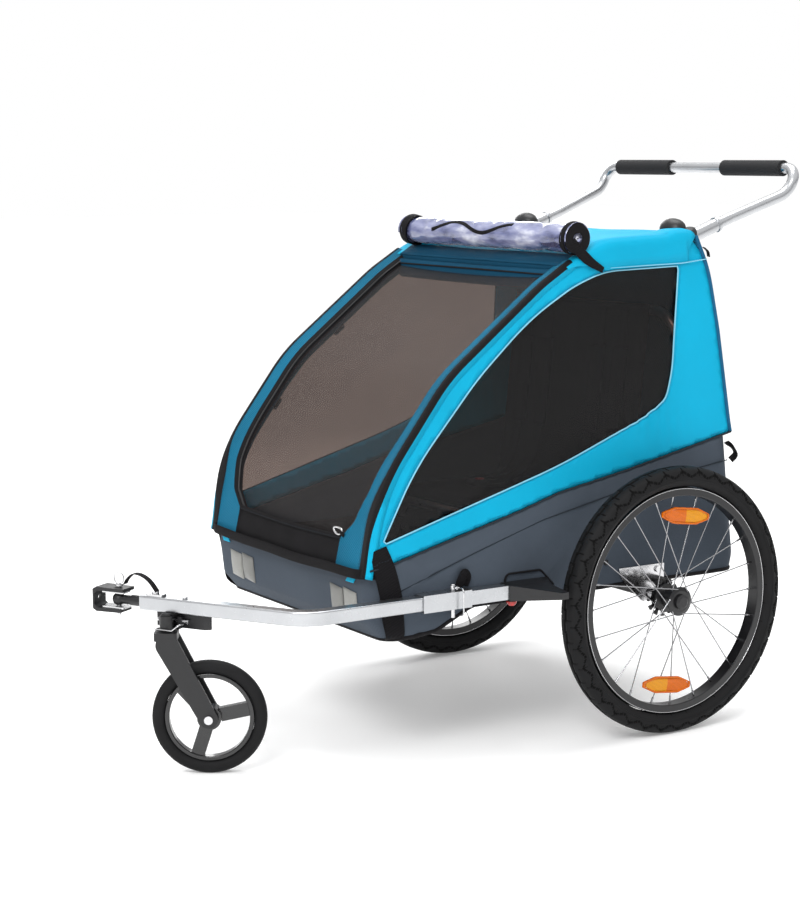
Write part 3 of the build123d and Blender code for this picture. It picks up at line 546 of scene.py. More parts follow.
BLUE = (0.0, 0.35, 0.56)
MID_BLUE = (0.006, 0.125, 0.22)
SLATE = (0.056, 0.07, 0.09)
BLACK = (0.005, 0.0045, 0.0055)
MAT = {
    "fabric_blue": fabric("blue_cloth", BLUE, rough=0.6, depth=0.0002),
    "textured_blue": fabric("textured_blue_cloth", MID_BLUE, pitch=0.0024, spread=0.5, depth=0.0009, rib=0.0042),
    "fabric_slate": fabric("slate_cloth", SLATE, pitch=0.0018, spread=0.2, wrinkle=0.002),
    "fabric_dark": fabric("dark_cloth", (0.006, 0.0065, 0.008), pitch=0.002, spread=0.3),
    "black_cloth": fabric("black_cloth", BLACK, pitch=0.0016, spread=0.3),
    "webbing": fabric("black_webbing", (0.0045, 0.004, 0.005), pitch=0.0013, spread=0.4, depth=0.0005, rib=0.003),
    "zip": fabric("black_zip_tape", (0.006, 0.0055, 0.0065), pitch=0.0022, spread=0.35, depth=0.0006, rough=0.6),
    "piping": fabric("pale_piping", (0.22, 0.55, 0.7), pitch=0.0012),
    "rear_piping": fabric("dark_blue_piping", (0.01, 0.1, 0.2), pitch=0.0012),
    "sleeve": fabric("dark_blue_sleeve", (0.002, 0.05, 0.1), pitch=0.0022),
    "film_core": fabric("folded_film", (0.12, 0.13, 0.24), pitch=0.004, rough=0.25),
    "thread": fabric("thread", (0.02, 0.25, 0.42), pitch=0.0008),
    "slate_thread": fabric("slate_thread", (0.02, 0.026, 0.034), pitch=0.0008),
    "reflective": fabric("silver_reflective", (0.2, 0.2, 0.19), pitch=0.0028, spread=0.3, rough=0.35, depth=0.0005),
    "reflective_dark": fabric("grey_reflective", (0.26, 0.26, 0.245), pitch=0.0028, spread=0.4, rough=0.4,
                              depth=0.0005),
    "mesh_black": see_through("insect_mesh", (0.007, 0.0045, 0.0042), (1, 1, 1), 0.65, 0.7, 0.0042, 0.05),
    "window_tint": see_through("tinted_film", (0.003, 0.003, 0.0035), (0.42, 0.31, 0.265), 0.42, 0.45),
    "aluminium": metal("aluminium_tube", (0.5, 0.51, 0.525), 0.3, (0.2, 1, 1)),
    "steel": metal("zinc_steel", (0.6, 0.6, 0.61), 0.2),
    "spoke": metal("spoke_wire", (0.34, 0.34, 0.35), 0.22),
    "black_metal": plastic("black_anodised", (0.006, 0.006, 0.007), 0.3, 0.00004),
    "black_plastic": plastic("moulded_black", (0.007, 0.007, 0.008), 0.42),
    "gloss_black_plastic": plastic("gloss_black", (0.004, 0.004, 0.0045), 0.24, 0.00001, 300.0, 0.4),
    "tyre": rubber("tyre_rubber", (0.006, 0.006, 0.0066), 0.7),
    # Near-black copy of the rubber for the tread's grooves: painted shade in the grooves.
    "tyre_groove_painted_shade": rubber("tyre_groove_painted_shade", (0.0008, 0.0008, 0.0008), 0.95),
    "red_plastic": plastic("red_moulding", (0.5, 0.02, 0.015), 0.3, coat=0.4),
    "foam_grip": foam("foam", (0.007, 0.007, 0.008)),
    "reflector_amber": lens_material("amber_lens", (0.78, 0.16, 0.0)),
    "reflector_light": lens_material("light_amber_lens", (0.9, 0.34, 0.0)),
    "clear_pvc": rolled_film("rolled_film_painted_highlights"),
}


def dress_cad_nodes():
    """Every carried-over CAD node gets the material of its record slot."""
    slots = {row["node"]: row["material_slot"] for row in frame["record"]["subparts"]}
    for name, obj in frame["nodes"].items():
        chosen = MAT[slots[name]]
        if name.endswith("_spokes"):
            chosen = MAT["spoke"]
        obj.data.materials.clear()
        obj.data.materials.append(chosen)


dress_cad_nodes()

# ---- camera, light and floor
CAMERA_AT = at(3.230, -2.427, 1.065)
YAW = math.radians(57.45)
PITCH = math.radians(8.18)
ROLL_TURN = math.radians(-0.06)
LENS = 82.08                                     # in mm, for a sensor 36 mm wide


def camera():
    data = bpy.data.cameras.new("camera")
    data.lens = LENS
    data.sensor_width = 36
    data.clip_end = 50
    obj = placed("camera", data)
    way = Vector((-math.sin(YAW) * math.cos(PITCH), math.cos(YAW) * math.cos(PITCH), -math.sin(PITCH)))
    obj.rotation_mode = "QUATERNION"
    turn = Matrix.Rotation(ROLL_TURN, 4, "Z")
    obj.matrix_world = Matrix.Translation(CAMERA_AT) @ way.to_track_quat("-Z", "Y").to_matrix().to_4x4() @ turn
    bpy.context.scene.camera = obj


def lamp(name, place, size, power):
    data = bpy.data.lights.new(name, "AREA")
    data.size = size
    data.energy = power
    obj = placed(name, data)
    obj.location = place
    obj.rotation_euler = (Vector((0, 0, 0.5)) - Vector(place)).to_track_quat("-Z", "Y").to_euler()


def studio():
    """White behind the object, a sky for its reflections that pales upward, three lamps and a pale floor."""
    world = bpy.data.worlds.new("studio")
    sky = Nodes(world)
    up = sky.new("SeparateXYZ", {0: sky.new("TexCoord").outputs["Generated"]})
    colour = sky.ramp(sky.plus(sky.times(up.outputs["Z"], 0.5), 0.5),
                      [(0.45, (0.22, 0.22, 0.23, 1)), (0.56, (0.5, 0.5, 0.51, 1)), (0.72, (1, 1, 1, 1))])
    reflected = sky.put(sky.tree.nodes["Background"], {"Color": colour, "Strength": 1.0})
    seen = sky.new("Background", {"Color": (1, 1, 1, 1)})
    mix = sky.new("MixShader", {0: sky.new("LightPath").outputs["Is Camera Ray"], 1: reflected.outputs[0],
                                2: seen.outputs[0]})
    sky.put(sky.tree.nodes["World Output"], {"Surface": mix.outputs[0]})
    bpy.context.scene.world = world
    bpy.context.scene.view_settings.view_transform = "Standard"
    lamp("key", (2.2, -2.6, 3.2), 1.6, 95)
    lamp("top", (-0.4, 0.6, 3.6), 2.2, 60)
    lamp("rim", (-3.0, 1.6, 1.8), 1.4, 25)
    look = Look("pale_floor")
    tone = look.ramp(look.noise(1.5, 2.0), [(0.3, (0.93, 0.93, 0.93, 1)), (0.7, (0.95, 0.95, 0.95, 1))])
    look.surface({"Base Color": tone, "Roughness": 0.8, "Emission Color": (1, 1, 1, 1), "Emission Strength": 0.16})
    MAT["floor"] = look.material
    floor = piece("floor", [(-30, -30, 0), (30, -30, 0), (30, 30, 0), (-30, 30, 0)], [(0, 1, 2, 3)], "floor")


camera()
studio()

# ---- side panels and windows
window_outline = rounded(WINDOW_LINE, WINDOW_BENDS, closed=True)


def folds_down(obj):
    """Attaches a soft piece of the cabin to the root body if it has no parent, and gives it a mesh of its own."""
    if obj.parent is None:
        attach(obj, "root")
    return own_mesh(obj)


def folds_back(obj):
    """Attaches a piece on the rear wall to the root body if it has no parent, and gives it a mesh of its own."""
    if obj.parent is None:
        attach(obj, "root")
    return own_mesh(obj)


def side_puff(y, z):
    """How far the side cloth stands out: slack waves, ripples at the window's low corner, a puckered seam."""
    wave = 0.0016 * wobble((y, z, 0), 7.0, 3)
    near_corner = math.exp(-((y - 0.02) / 0.075) ** 2) * math.exp(-((z - 0.572) / 0.035) ** 2)
    ripples = 0.0026 * math.sin(y * 2 * math.pi / 0.024 + 18 * z) * near_corner
    near_seam = math.exp(-((z - height_on(SEAM_LINE, y)) / 0.03) ** 2)
    puckers = 0.0005 * math.sin(y * 2 * math.pi / 0.03 + 2.2 * wobble((y, 0, 0), 20)) * near_seam
    return wave + ripples + puckers


def side_panel(name, side):
    edge = [ARCH.yz(s) + ARCH.outward(s) * -0.010 for s in np.linspace(0.012, S_ROOF, 60)]
    rear = rounded(REAR_LINE, [0.3, 0.3, 0.3])[1:]
    outline = np.array(edge + [p + (-0.002, 0) for p in rear] + SEAM_LINE[-2::-1])
    made = region(f"{name}_side_panel", outline, [window_outline], 0.011,
                  lambda y, z: at(side * (HALF + side_puff(y, z)), y, z), "fabric_blue",
                  flip=side < 0)
    thicken(made, 0.0012)
    folds_down(made)
    return made


def window(name, side):
    film = region(f"{name}_window_film", window_outline, [], 0.016,
                  lambda y, z: at(side * (HALF - 0.0016 - 0.001 * wobble((y, z, 1), 4)), y, z),
                  "window_tint", flip=side < 0)
    folds_down(film)
    line = [at(side * (HALF + 0.0006 + side_puff(y, z)), y, z) for y, z in spaced(window_outline, 0.008)]
    folds_down(tube(f"{name}_window_piping", line, 0.0015, "piping", "root", "fabric_blue", closed=True))
    centre = window_outline.mean(0)
    around = [centre + (p - centre) * 1.025 for p in spaced(window_outline, 0.008)]
    row = [at(side * (HALF + 0.0004 + side_puff(y, z)), y, z) for y, z in around]
    folds_down(stitches(f"{name}_window_stitching", row, (side, 0, 0), "thread", "root"))
    return film


def yz_line(points, side, out=0.001, step=0.008):
    """A line on the side cloth."""
    return [at(side * (HALF + out + side_puff(y, z)), y, z)
            for y, z in spaced(np.array(points), step, closed=False)]


def seams(name, side):
    line = yz_line(SEAM_LINE, side, 0.0022)
    folds_down(tube(f"{name}_seam_piping", line, 0.0019, "slate_thread", "root", "fabric_slate"))
    rear = spaced(rounded(REAR_LINE, [0.3] * 3), 0.01, closed=False)
    line = [at(side * (HALF - 0.001), y, z) for y, z in rear]
    folds_back(tube(f"{name}_rear_piping", line, 0.0042, "rear_piping", "root", "fabric_blue"))
    line = yz_line([(y, z + 0.006) for y, z in SEAM_LINE], side, 0.0008)
    folds_down(stitches(f"{name}_seam_stitching", line, (side, 0, 0), "thread", "root"))
    line = yz_line([(-0.1, 0.862), (0.068, 0.866), (0.128, 0.872)], side, 0.0042)
    tube(f"{name}_roof_flap_seam", line, 0.0011, "piping", "upper_frame", "fabric_blue")


for name, side in SIDES.items():
    panel = side_panel(name, side)
    film = window(name, side)
    if side > 0:
        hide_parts("cabin_fabric")
        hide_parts("side_windows")
    seams(name, side)

# ---- roof
def roof_height(x, s):
    """Sag between the frame tubes, and the lift over the rear corner knuckles."""
    sag = -0.006 * math.cos(math.pi * x / 0.54) ** 2 * math.sin(math.pi * (s - S_COVER) / (S_ROOF - S_COVER))
    lift = 0.0065 * smooth_step(0.225, 0.25, abs(x)) * smooth_step(S_ROOF - 0.075, S_ROOF - 0.045, s)
    crease = 0.0014 * wobble((x, s, 2), 9.0, 5)
    return sag + lift + crease


def roof():
    columns = [(-HALF - 0.0028, -0.054), (-HALF - 0.003, -0.035), (-HALF - 0.003, -0.018), (-HALF - 0.001, -0.007),
               (-HALF + 0.007, -0.001)]
    inner = [(x, 0.0) for x in np.linspace(-HALF + 0.018, HALF - 0.018, 44)]
    columns += inner + [(-x, h) for x, h in reversed(columns)]
    stations = np.linspace(S_COVER - 0.004, S_ROOF, 34)

    def cloth_point(s, column):
        x, h = column
        flap = -h / 0.054
        reach = 0.16 + 0.84 * smooth_step(S_COVER, ARCH.s_at_y(-0.118), s)
        height = roof_height(x, s) * (1 - flap) + h * reach
        side_wave = 0.0012 * wobble((s, h * 2, 1 if x > 0 else 4), 12.0) * flap
        return ARCH.point(x + math.copysign(side_wave, x), s, height)

    made = grid("roof_cloth", rows_of(stations, columns, cloth_point), ["fabric_blue", "sleeve"],
                "upper_frame")
    lining = ARCH.s_at_y(-0.168)
    n = len(columns) - 1
    for k, face in enumerate(made.data.polygons):
        if stations[k // n] < lining and abs(columns[k % n][0]) < 0.262:
            face.material_index = 1
    thicken(made, 0.0012, 1.0)
    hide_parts("roof_panel")
    for name, side in SIDES.items():
        fold = [ARCH.point(side * (HALF - 0.006), s, 0.0022) for s in np.linspace(S_COVER, S_ROOF - 0.05, 30)]
        stitches(f"roof_stitching_{name}", fold, (0, 0, 1), "thread", "upper_frame")


roof()


def roof_corners():
    """Moulded black corners that the handlebar's sleeves come out of, with a domed cap beside each."""
    first = None
    low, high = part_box("roof_corner_knuckles")
    for name, side in SIDES.items():
        middle = Vector((side * 0.234, low.y + 0.023, high.z - 0.024))
        dome = [(0.0, 0.0295), (0.006, 0.0295), (0.012, 0.027), (0.017, 0.022), (0.0205, 0.015), (0.0225, 0.007),
                (0.023, 0.0)]
        lathe(f"{name}_roof_corner_cap", dome,
              lambda along, r, a: middle + Vector((r * math.cos(a), r * 0.72 * math.sin(a), along)),
              "black_plastic", "upper_frame", 40)
        way = Vector((0, math.cos(math.radians(19.5)), math.sin(math.radians(19.5))))
        start = at(side * 0.2665, 0.072, 0.8985)
        steps = [(0.0, 0.8), (0.004, 0.95), (0.01, 1.0), (0.034, 1.0), (0.041, 0.96), (0.044, 0.84), (0.0445, 0.66)]

        def squared(along, k, a):
            c, d = math.cos(a), math.sin(a)
            r = 0.0205 * k / (abs(c) ** 3.2 + abs(d) ** 3.2) ** (1 / 3.2)
            return start + way * along + Vector((r * c * 0.93, 0, r * d))

        block = lathe(f"{name}_roof_corner", steps, squared, "black_plastic", "upper_frame", 40)
        first = first or block
    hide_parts("roof_corner_knuckles")


roof_corners()

# ---- rear panel
def rear_panel():
    def cloth_point(s, x):
        t = (s - S_ROOF) / (S_END - S_ROOF)
        bulge = 0.007 * math.cos(math.pi * x / (2 * HALF)) ** 2 * math.sin(math.pi * t)
        return ARCH.point(x, s, bulge - 0.003 + 0.0015 * wobble((x, s, 7), 9))

    rows = rows_of(np.linspace(S_ROOF, S_END, 26), np.linspace(-HALF + 0.002, HALF - 0.002, 44), cloth_point)
    made = grid("rear_panel", rows, "textured_blue", None)
    thicken(made, 0.0012)
    folds_back(made)
    flap = [(-0.2, 0.33), (-0.2, 0.08), (0.2, 0.08), (0.2, 0.33)]
    line = [ARCH.point(x, S_ROOF + s, 0.0075) for x, s in spaced(rounded(flap, [0.05, 0.05]), 0.01, closed=False)]
    folds_back(tape("rear_flap_zip", line, 0.011, 0.003, up=(0, 1, 0.2), material="zip", slot="fabric_blue"))
    for i, x in enumerate((-0.12, 0.12)):
        strap = [ARCH.point(x, S_ROOF + s, 0.0115 + 0.002 * math.sin(s * 40)) for s in np.linspace(0.2, 0.36, 20)]
        folds_back(tape(f"rear_strap_{i + 1}", strap, 0.022, 0.0022, up=(0, 1, 0.2)))


rear_panel()

# ---- arch trim: black tape, textured strip and inner zip
def inner_x(s):
    """Where the textured strip meets the net: a wide triangle at the foot, a narrow strip above."""
    return float(np.interp(s, [0.0, 0.057, 0.089, 0.147, 0.254, 0.6], [0.186, 0.186, 0.222, 0.243, 0.252, 0.255]))


def trim_height(x, s):
    rise = 0.5 * (1 + math.cos(math.pi * min(1.0, abs(x - 0.283) / 0.036)))
    return -0.002 + 0.0055 * rise * smooth_step(0.0, 0.09, s)


def arch_trim(name, side):
    rows = []
    for s in np.linspace(0.0, S_COVER + 0.012, 110):
        x0 = inner_x(s)
        x1 = 0.264 + 0.017 * smooth_step(0.1, 0.2, s)
        section = [(x0 - 0.013, -0.012), (x0 - 0.007, -0.009), (x0, trim_height(x0, s) + 0.001)]
        section += [(x, trim_height(x, s)) for x in np.linspace(x0, x1, 12)[1:]]
        edge = 0.283 + 0.0088 * smooth_step(0.03, 0.15, s)
        low = trim_height(edge, s) - 0.002
        side_low = low - 0.0055 * smooth_step(0.05, 0.2, s)
        section += [(x, trim_height(x, s) + 0.0012) for x in np.linspace(x1 + 0.0012, edge - 0.003, 5)]
        section += [(edge, low), (edge + 0.0004, side_low)]
        section += [(HALF + 0.0014, min(low, side_low) - 0.0005), (HALF + 0.0014, -0.0145)]
        rows.append([ARCH.point(side * x, s, h) for x, h in section])
    columns = [1, 1] + [0] * 11 + [1] * 7 + [2, 2]
    made = grid(f"{name}_arch_trim", rows, ["textured_blue", "zip", "fabric_blue"], "upper_frame",
                column_material=columns)
    thicken(made, 0.0014, 1.0 if side < 0 else -1.0)
    teeth = [ARCH.point(side * (inner_x(s) - 0.008), s, -0.0075) for s in np.linspace(0.01, S_COVER, 200)]
    tube(f"{name}_zip_teeth", teeth, 0.0018, "black_plastic", "upper_frame", "webbing")
    row = []
    for s in np.linspace(0.01, S_COVER, 120):
        x = 0.2615 + 0.017 * smooth_step(0.1, 0.2, s)
        row.append(ARCH.point(side * x, s, trim_height(x, s) + 0.0014))
    stitches(f"{name}_trim_stitching", row, (0, -1, 1), "slate_thread", "upper_frame")


for name, side in SIDES.items():
    arch_trim(name, side)

# ---- front cover
BAND_S = 0.058


def front_cover():
    def net_point(s, u):
        half = inner_x(s) - 0.004
        x = u * half
        sag = 0.007 * (1 - u * u) * math.sin(math.pi * min(1, (s - BAND_S + 0.02) / 0.25) / 2)
        return ARCH.point(x, s, -0.0125 - sag + 0.0012 * wobble((x, s, 3), 6))

    def band_point(s, x):
        dip = 0.004 * math.cos(math.pi * x / 0.376)
        bulge = 0.003 * math.sin(math.pi * s / BAND_S) + 0.0012 * wobble((x * 1.5, s * 4, 1), 14)
        return ARCH.point(x, max(s - dip * s / BAND_S, 0), -0.0055 + bulge)

    rows = rows_of(np.linspace(BAND_S - 0.003, S_COVER - 0.001, 90), np.linspace(-1, 1, 60), net_point)
    net = grid("front_net", rows, "mesh_black", "front_cover")
    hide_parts("front_cover")
    rows = rows_of(np.linspace(-0.001, BAND_S, 12), np.linspace(-0.188, 0.188, 50), band_point)
    band = grid("front_band", rows, "black_cloth", "front_cover")
    thicken(band, 0.002)
    hem = [ARCH.point(x, BAND_S - 0.004 * math.cos(math.pi * x / 0.376), -0.0035)
           for x in np.linspace(-0.186, 0.186, 70)]
    tape("front_band_hem", hem, 0.009, 0.003, "front_cover", (0, -1, 0.3))
    row = [p + Vector((0, -0.002, -0.001)) for p in hem]
    stitches("front_band_stitching", row, (0, -1, 0.2), "slate_thread", "front_cover")
    top = [ARCH.point(x, S_COVER - 0.012, -0.009) for x in np.linspace(-0.25, 0.25, 50)]
    tape("front_cover_top_hem", top, 0.02, 0.002, "front_cover", (0, -0.6, 1), "black_cloth")


front_cover()


def zip_pull():
    """The small metal pull at the near foot of the cover."""
    origin = ARCH.point(0.178, 0.069, -0.001)
    loop = [origin + Vector((0.014 * math.cos(a), -0.0022, 0.0062 * math.sin(a) + 0.001 * math.cos(2 * a)))
            for a in turns(28)]
    tube("cover_d_ring", loop, 0.0019, "steel", "front_cover", "steel", closed=True, up=(0, 1, 0))
    tab = [(0.004, -0.001, 0.002), (0.012, -0.004, -0.002), (0.02, -0.002, -0.007)]
    tab = curve_through([origin + Vector(p) for p in tab], 0.002)
    tape("cover_pull_tab", tab, 0.008, 0.0016, "front_cover", (0, -1, 0))


zip_pull()

# ---- lower tub
TUB_FRONT = ([0.0, 0.25, 1.0], [-0.575, -0.603, -0.613])
TUB_REAR = ([0.0, 0.1, 1.0], [0.222, 0.228, 0.199])


def tub_bottom(y):
    return float(np.interp(y, [-0.575, -0.48, -0.4, 0.222], [0.229, 0.236, 0.273, 0.273]))


def tub_top(y):
    return height_on(SEAM_LINE, y)


def tub_columns():
    """Plan places round the tub, as (x, way).

    A way is (0, dy) at the front, (1, t) along a side and (2, dy) at the rear.
    """
    r = TUB_CORNER
    half = [(x, (0, 0.0)) for x in np.linspace(0, HALF - r, 14)]
    angles = [i * math.pi / 14 for i in range(1, 8)]
    half += [(HALF - r + r * math.sin(a), (0, r - r * math.cos(a))) for a in angles]
    half += [(HALF, (1, t)) for t in np.linspace(0, 1, 52)[1:-1]]
    half += [(HALF - r + r * math.cos(a - angles[0]), (2, r - r * math.sin(a - angles[0]))) for a in angles]
    half += [(x, (2, 0.0)) for x in np.linspace(HALF - r, 0, 14)]
    return half + [(-x, way) for x, way in reversed(half[1:-1])]


def tub_point(x, way, w):
    front = float(np.interp(w, *TUB_FRONT))
    rear = float(np.interp(w, *TUB_REAR))
    kind, v = way
    y = (front + v, front + TUB_CORNER + v * (rear - front - 2 * TUB_CORNER), rear - v)[kind]
    low = tub_bottom(y)
    top = tub_top(y)
    z = low + (top - low) * w
    out = 0.0016 * wobble((x, y, z), 8.0, 9) * math.sin(math.pi * w)
    if kind == 1:
        seam = height_on(TUB_SEAM, y)
        out += 0.0022 * math.exp(-abs(z - seam - 0.01) / 0.02) if z > seam else -0.001
        pull = math.exp(-((y + 0.17) / 0.1) ** 2) * smooth_step(0.42, 0.3, z)
        out += 0.003 * pull * math.sin((y * 0.8 - z) * 90)
        out += 0.0035 * math.exp(-((y + 0.53) / 0.05) ** 2) * math.sin(z * 130 + y * 60) * (1 - w * 0.6)
        return at(x + math.copysign(out, x), y, z)
    return at(x, y + (-out if kind == 0 else out), z)


def tub():
    columns = tub_columns()
    rows = [[tub_point(x, way, w) for x, way in columns] for w in np.linspace(0, 1, 26)]
    wall = grid("tub_cloth", rows, "fabric_slate", None, loop=True)
    thicken(wall, 0.0014, 1.0)
    folds_down(wall)
    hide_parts("lower_tub")
    rows = []
    for y in np.linspace(-0.573, 0.22, 40):
        edge = corner_inset(TUB_CORNER - min(y + 0.575, 0.222 - y))
        xs = np.linspace(-HALF + edge + 0.001, HALF - edge - 0.001, 24)
        rows.append([at(x, y, tub_bottom(y) + 0.001 + 0.0012 * wobble((x, y, 5), 6)) for x in xs])
    base = grid("tub_underside", rows, "black_cloth", None)
    thicken(base, 0.0014, 1.0)
    folds_down(base)
    edge = [tub_point(x, way, 0.0) + Vector((0, 0, 0.0005)) for x, way in columns]
    folds_down(tube("tub_bottom_piping", edge, 0.0042, "zip", "root", "fabric_slate", closed=True, up=(0, 0, 1)))


def corner_inset(past):
    """How far one of the tub's corners has drawn in, at a distance past its start."""
    return TUB_CORNER - math.sqrt(max(0.0, TUB_CORNER ** 2 - min(TUB_CORNER, max(0.0, past)) ** 2))


tub()


def bumper():
    """The black band across the front under the cover, with the side cloth's ends tucked behind it."""
    places = sorted((c for c in tub_columns() if c[1][0] == 0), key=lambda c: c[0])
    line = []
    for x, way in places:
        droop = 0.005 * math.cos(math.pi * x / (2 * HALF)) + 0.0015 * wobble((x, 0, 0), 9)
        line.append(at(x, -0.6245 + way[1], 0.3505 - droop))
    folds_down(tape("front_bumper_band", line, 0.017, 0.003, material="black_cloth", slot="fabric_slate",
                    up=lambda i: (line[i].x * 1.2 if abs(line[i].x) > 0.25 else 0, -0.5, 0.04)))
    for name, side in SIDES.items():
        rows = rows_of(np.linspace(0, 1, 5), np.linspace(0.226, 0.252, 8),
                       lambda k, x: at(side * (x - 0.012 * k), -0.6145 - 0.0012 * k, 0.346 - 0.017 * k))
        tongue = grid(f"{name}_front_tongue", rows, "fabric_blue", None)
        folds_down(thicken(tongue, 0.001, 1.0))


bumper()


def front_patches():
    """Two-part woven reflective patches on the front of the tub."""
    for name, side in SIDES.items():
        for part, (x0, x1, mat) in enumerate(((0.143, 0.186, "reflective"), (0.188, 0.232, "reflective_dark"))):
            def patch_point(w, t):
                z = 0.264 + 0.049 * w
                front = float(np.interp((z - 0.229) / 0.129, *TUB_FRONT))
                soft = 0.0055 * (1 - abs(2 * t - 1) ** 3) * (1 - abs(2 * w - 1) ** 3)
                return at(0.01 + side * (x0 + (x1 - x0) * t), front - 0.0022 - soft,
                          z - 0.004 * (t - 0.5) * side)

            rows = rows_of(np.linspace(0, 1, 9), np.linspace(0, 1, 9), patch_point)
            patch = grid(f"{name}_reflective_patch_{part + 1}", rows, mat, None)
            folds_down(thicken(patch, 0.0014, 0.0))


front_patches()

# ---- cabin inside
def inner_cloth():
    """Sleeves of cloth round the arch tubes, the loops that hold them, and the dark floor cloth."""
    tube_line = rounded([(-0.59, 0.352), (-0.568, 0.49), (-0.437, 0.662), (-0.24, 0.815), (-0.119, 0.888)],
                        [0.32, 0.32, 0.32])
    for name, side in SIDES.items():
        line = [at(side * 0.271, y, z) for y, z in spaced(tube_line, 0.012, closed=False)]
        sweep(f"{name}_arch_sleeve", line, [(c * 0.86, s * 1.25) for c, s in ring_profile(0.0135, 14)],
              "sleeve", "upper_frame", "fabric_blue")
        for k, place in enumerate((0.36, 0.62)):
            i = int(len(line) * place)
            t = (line[i + 1] - line[i]).normalized()
            n = Vector((side, 0, 0)).cross(t)
            ring = [line[i] + Vector((side, 0, 0)) * 0.0142 * math.cos(a) + n * 0.0185 * math.sin(a)
                    for a in turns(24)]
            tape(f"{name}_sleeve_loop_{k + 1}", ring, 0.022, 0.0018, "upper_frame", lambda j: ring[j] - line[i],
                 closed=True)
    rows = rows_of(np.linspace(0, 1, 6), np.linspace(-0.266, 0.266, 30),
                   lambda k, x: at(x, -0.197 + 0.004 * k, 0.869 - 0.026 * k))
    front_lining = thicken(grid("front_lining", rows, "sleeve", "upper_frame"), 0.001)
    bar = [at(x, -0.195, 0.842 - 0.002 * math.cos(x * 5)) for x in np.linspace(-0.262, 0.262, 40)]
    sweep("cross_bar_sleeve", bar, [(c * 0.9, s * 1.6) for c, s in ring_profile(0.0125, 14)], "sleeve",
          "upper_frame", "fabric_blue", up=(0, -0.4, 1))
    rows = rows_of(np.linspace(-0.55, 0.2, 30), np.linspace(-0.27, 0.27, 26), lambda y, x: at(
        x, y, 0.312 + (0.03 * smooth_step(0.2, 0.27, abs(x))) + 0.003 * wobble((x, y, 8), 7)))
    floor_cloth = thicken(grid("floor_cloth", rows, "black_cloth", None), 0.001)
    folds_down(floor_cloth)


inner_cloth()


def cushion(name, low, high, edge, quilt, node_name, lean=None):
    """A padded board: a rounded block, puffed between its quilting seams."""
    nx, ny = 46, 34
    size = Vector(high) - Vector(low)
    mid = (Vector(high) + Vector(low)) / 2
    verts = []
    faces = []
    for face, sign in enumerate((1, -1)):
        for j in range(ny + 1):
            for i in range(nx + 1):
                u, v = 2 * i / nx - 1, 2 * j / ny - 1
                rim = min(1 - abs(u), 1 - abs(v))
                thick = (1 - (1 - min(1.0, rim * edge)) ** 2) ** 0.5
                puff = quilt(u, v) if sign > 0 else 0.9
                verts.append(Vector((mid.x + u * size.x / 2, mid.y + v * size.y / 2,
                                     mid.z + sign * size.z / 2 * thick * puff)))
        b = face * (nx + 1) * (ny + 1)
        for j in range(ny):
            for i in range(nx):
                p = b + j * (nx + 1) + i
                q = [p, p + 1, p + nx + 2, p + nx + 1]
                faces.append(tuple(q if sign > 0 else reversed(q)))
    verts = [lean(v) if lean else v for v in verts]
    made = piece(name, verts, faces, "fabric_dark", None)
    weld(made)
    puff_up(made)
    folds_down(made)
    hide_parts(node_name)


def weld(obj, distance=0.0004):
    bm = bmesh.new()
    bm.from_mesh(obj.data)
    bmesh.ops.remove_doubles(bm, verts=bm.verts, dist=distance)
    bmesh.ops.recalc_face_normals(bm, faces=bm.faces)
    bm.to_mesh(obj.data)
    bm.free()


def puff_up(obj):
    """Lets a short cloth simulation fill and crease the cover, within a few millimetres of its drawn shape."""
    drawn = np.array([v.co for v in obj.data.vertices])
    last_frame = 20
    furthest = 0.006
    cloth = obj.modifiers.new("cloth", "CLOTH")
    cloth.settings.use_pressure = True
    cloth.settings.uniform_pressure_force = 4
    cloth.settings.effector_weights.gravity = 0
    cloth.settings.shrink_min = -0.02
    cloth.point_cache.frame_start = 1
    cloth.point_cache.frame_end = last_frame
    scene = bpy.context.scene
    for f in range(1, last_frame + 1):
        scene.frame_set(f)
    found = obj.evaluated_get(bpy.context.evaluated_depsgraph_get()).data
    moved = np.array([v.co for v in found.vertices]) - drawn
    reach = np.linalg.norm(moved, axis=1, keepdims=True)
    moved *= np.minimum(1, furthest / np.maximum(reach, 1e-9))
    obj.modifiers.remove(cloth)
    scene.frame_set(1)
    for v, p in zip(obj.data.vertices, drawn + moved):
        v.co = p


def seat_quilt(u, v):
    seam = min(abs(u), abs(abs(u) - 0.62), abs(v + 0.35) + 0.1)
    return 0.8 + 0.2 * smooth_step(0.0, 0.09, seam)


seat_low, seat_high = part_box("seat_base")
cushion("seat_cushion", seat_low + Vector((0.001, 0.001, 0.001)), seat_high - Vector((0.001, 0.001, 0)), 9,
        seat_quilt, "seat_base")


def lean_back(v):
    """Turns a board lying in X and Y, its face up, into the backrest's place and slope."""
    a = at(0, 0.017, 0.410)
    b = at(0, 0.059, 0.789)
    along = b - a
    t = v.y
    face = Vector((0, -along.z, along.y)).normalized()
    return Vector((v.x, 0, 0)) + Vector((0, a.y, a.z)) + along * t + face * (v.z - 0.012)


cushion("backrest_pad", (-0.221, 0.0, 0.0), (0.221, 1.0, 0.022), 10,
        lambda u, v: 0.78 + 0.22 * smooth_step(0.0, 0.08, min(abs(u), abs(abs(u) - 0.6), abs(v - 0.3))),
        "seat_back", lean_back)


def strap_line(points, step):
    """A smooth line through points given from the rear axle."""
    return curve_through([at(*p) for p in points], step)


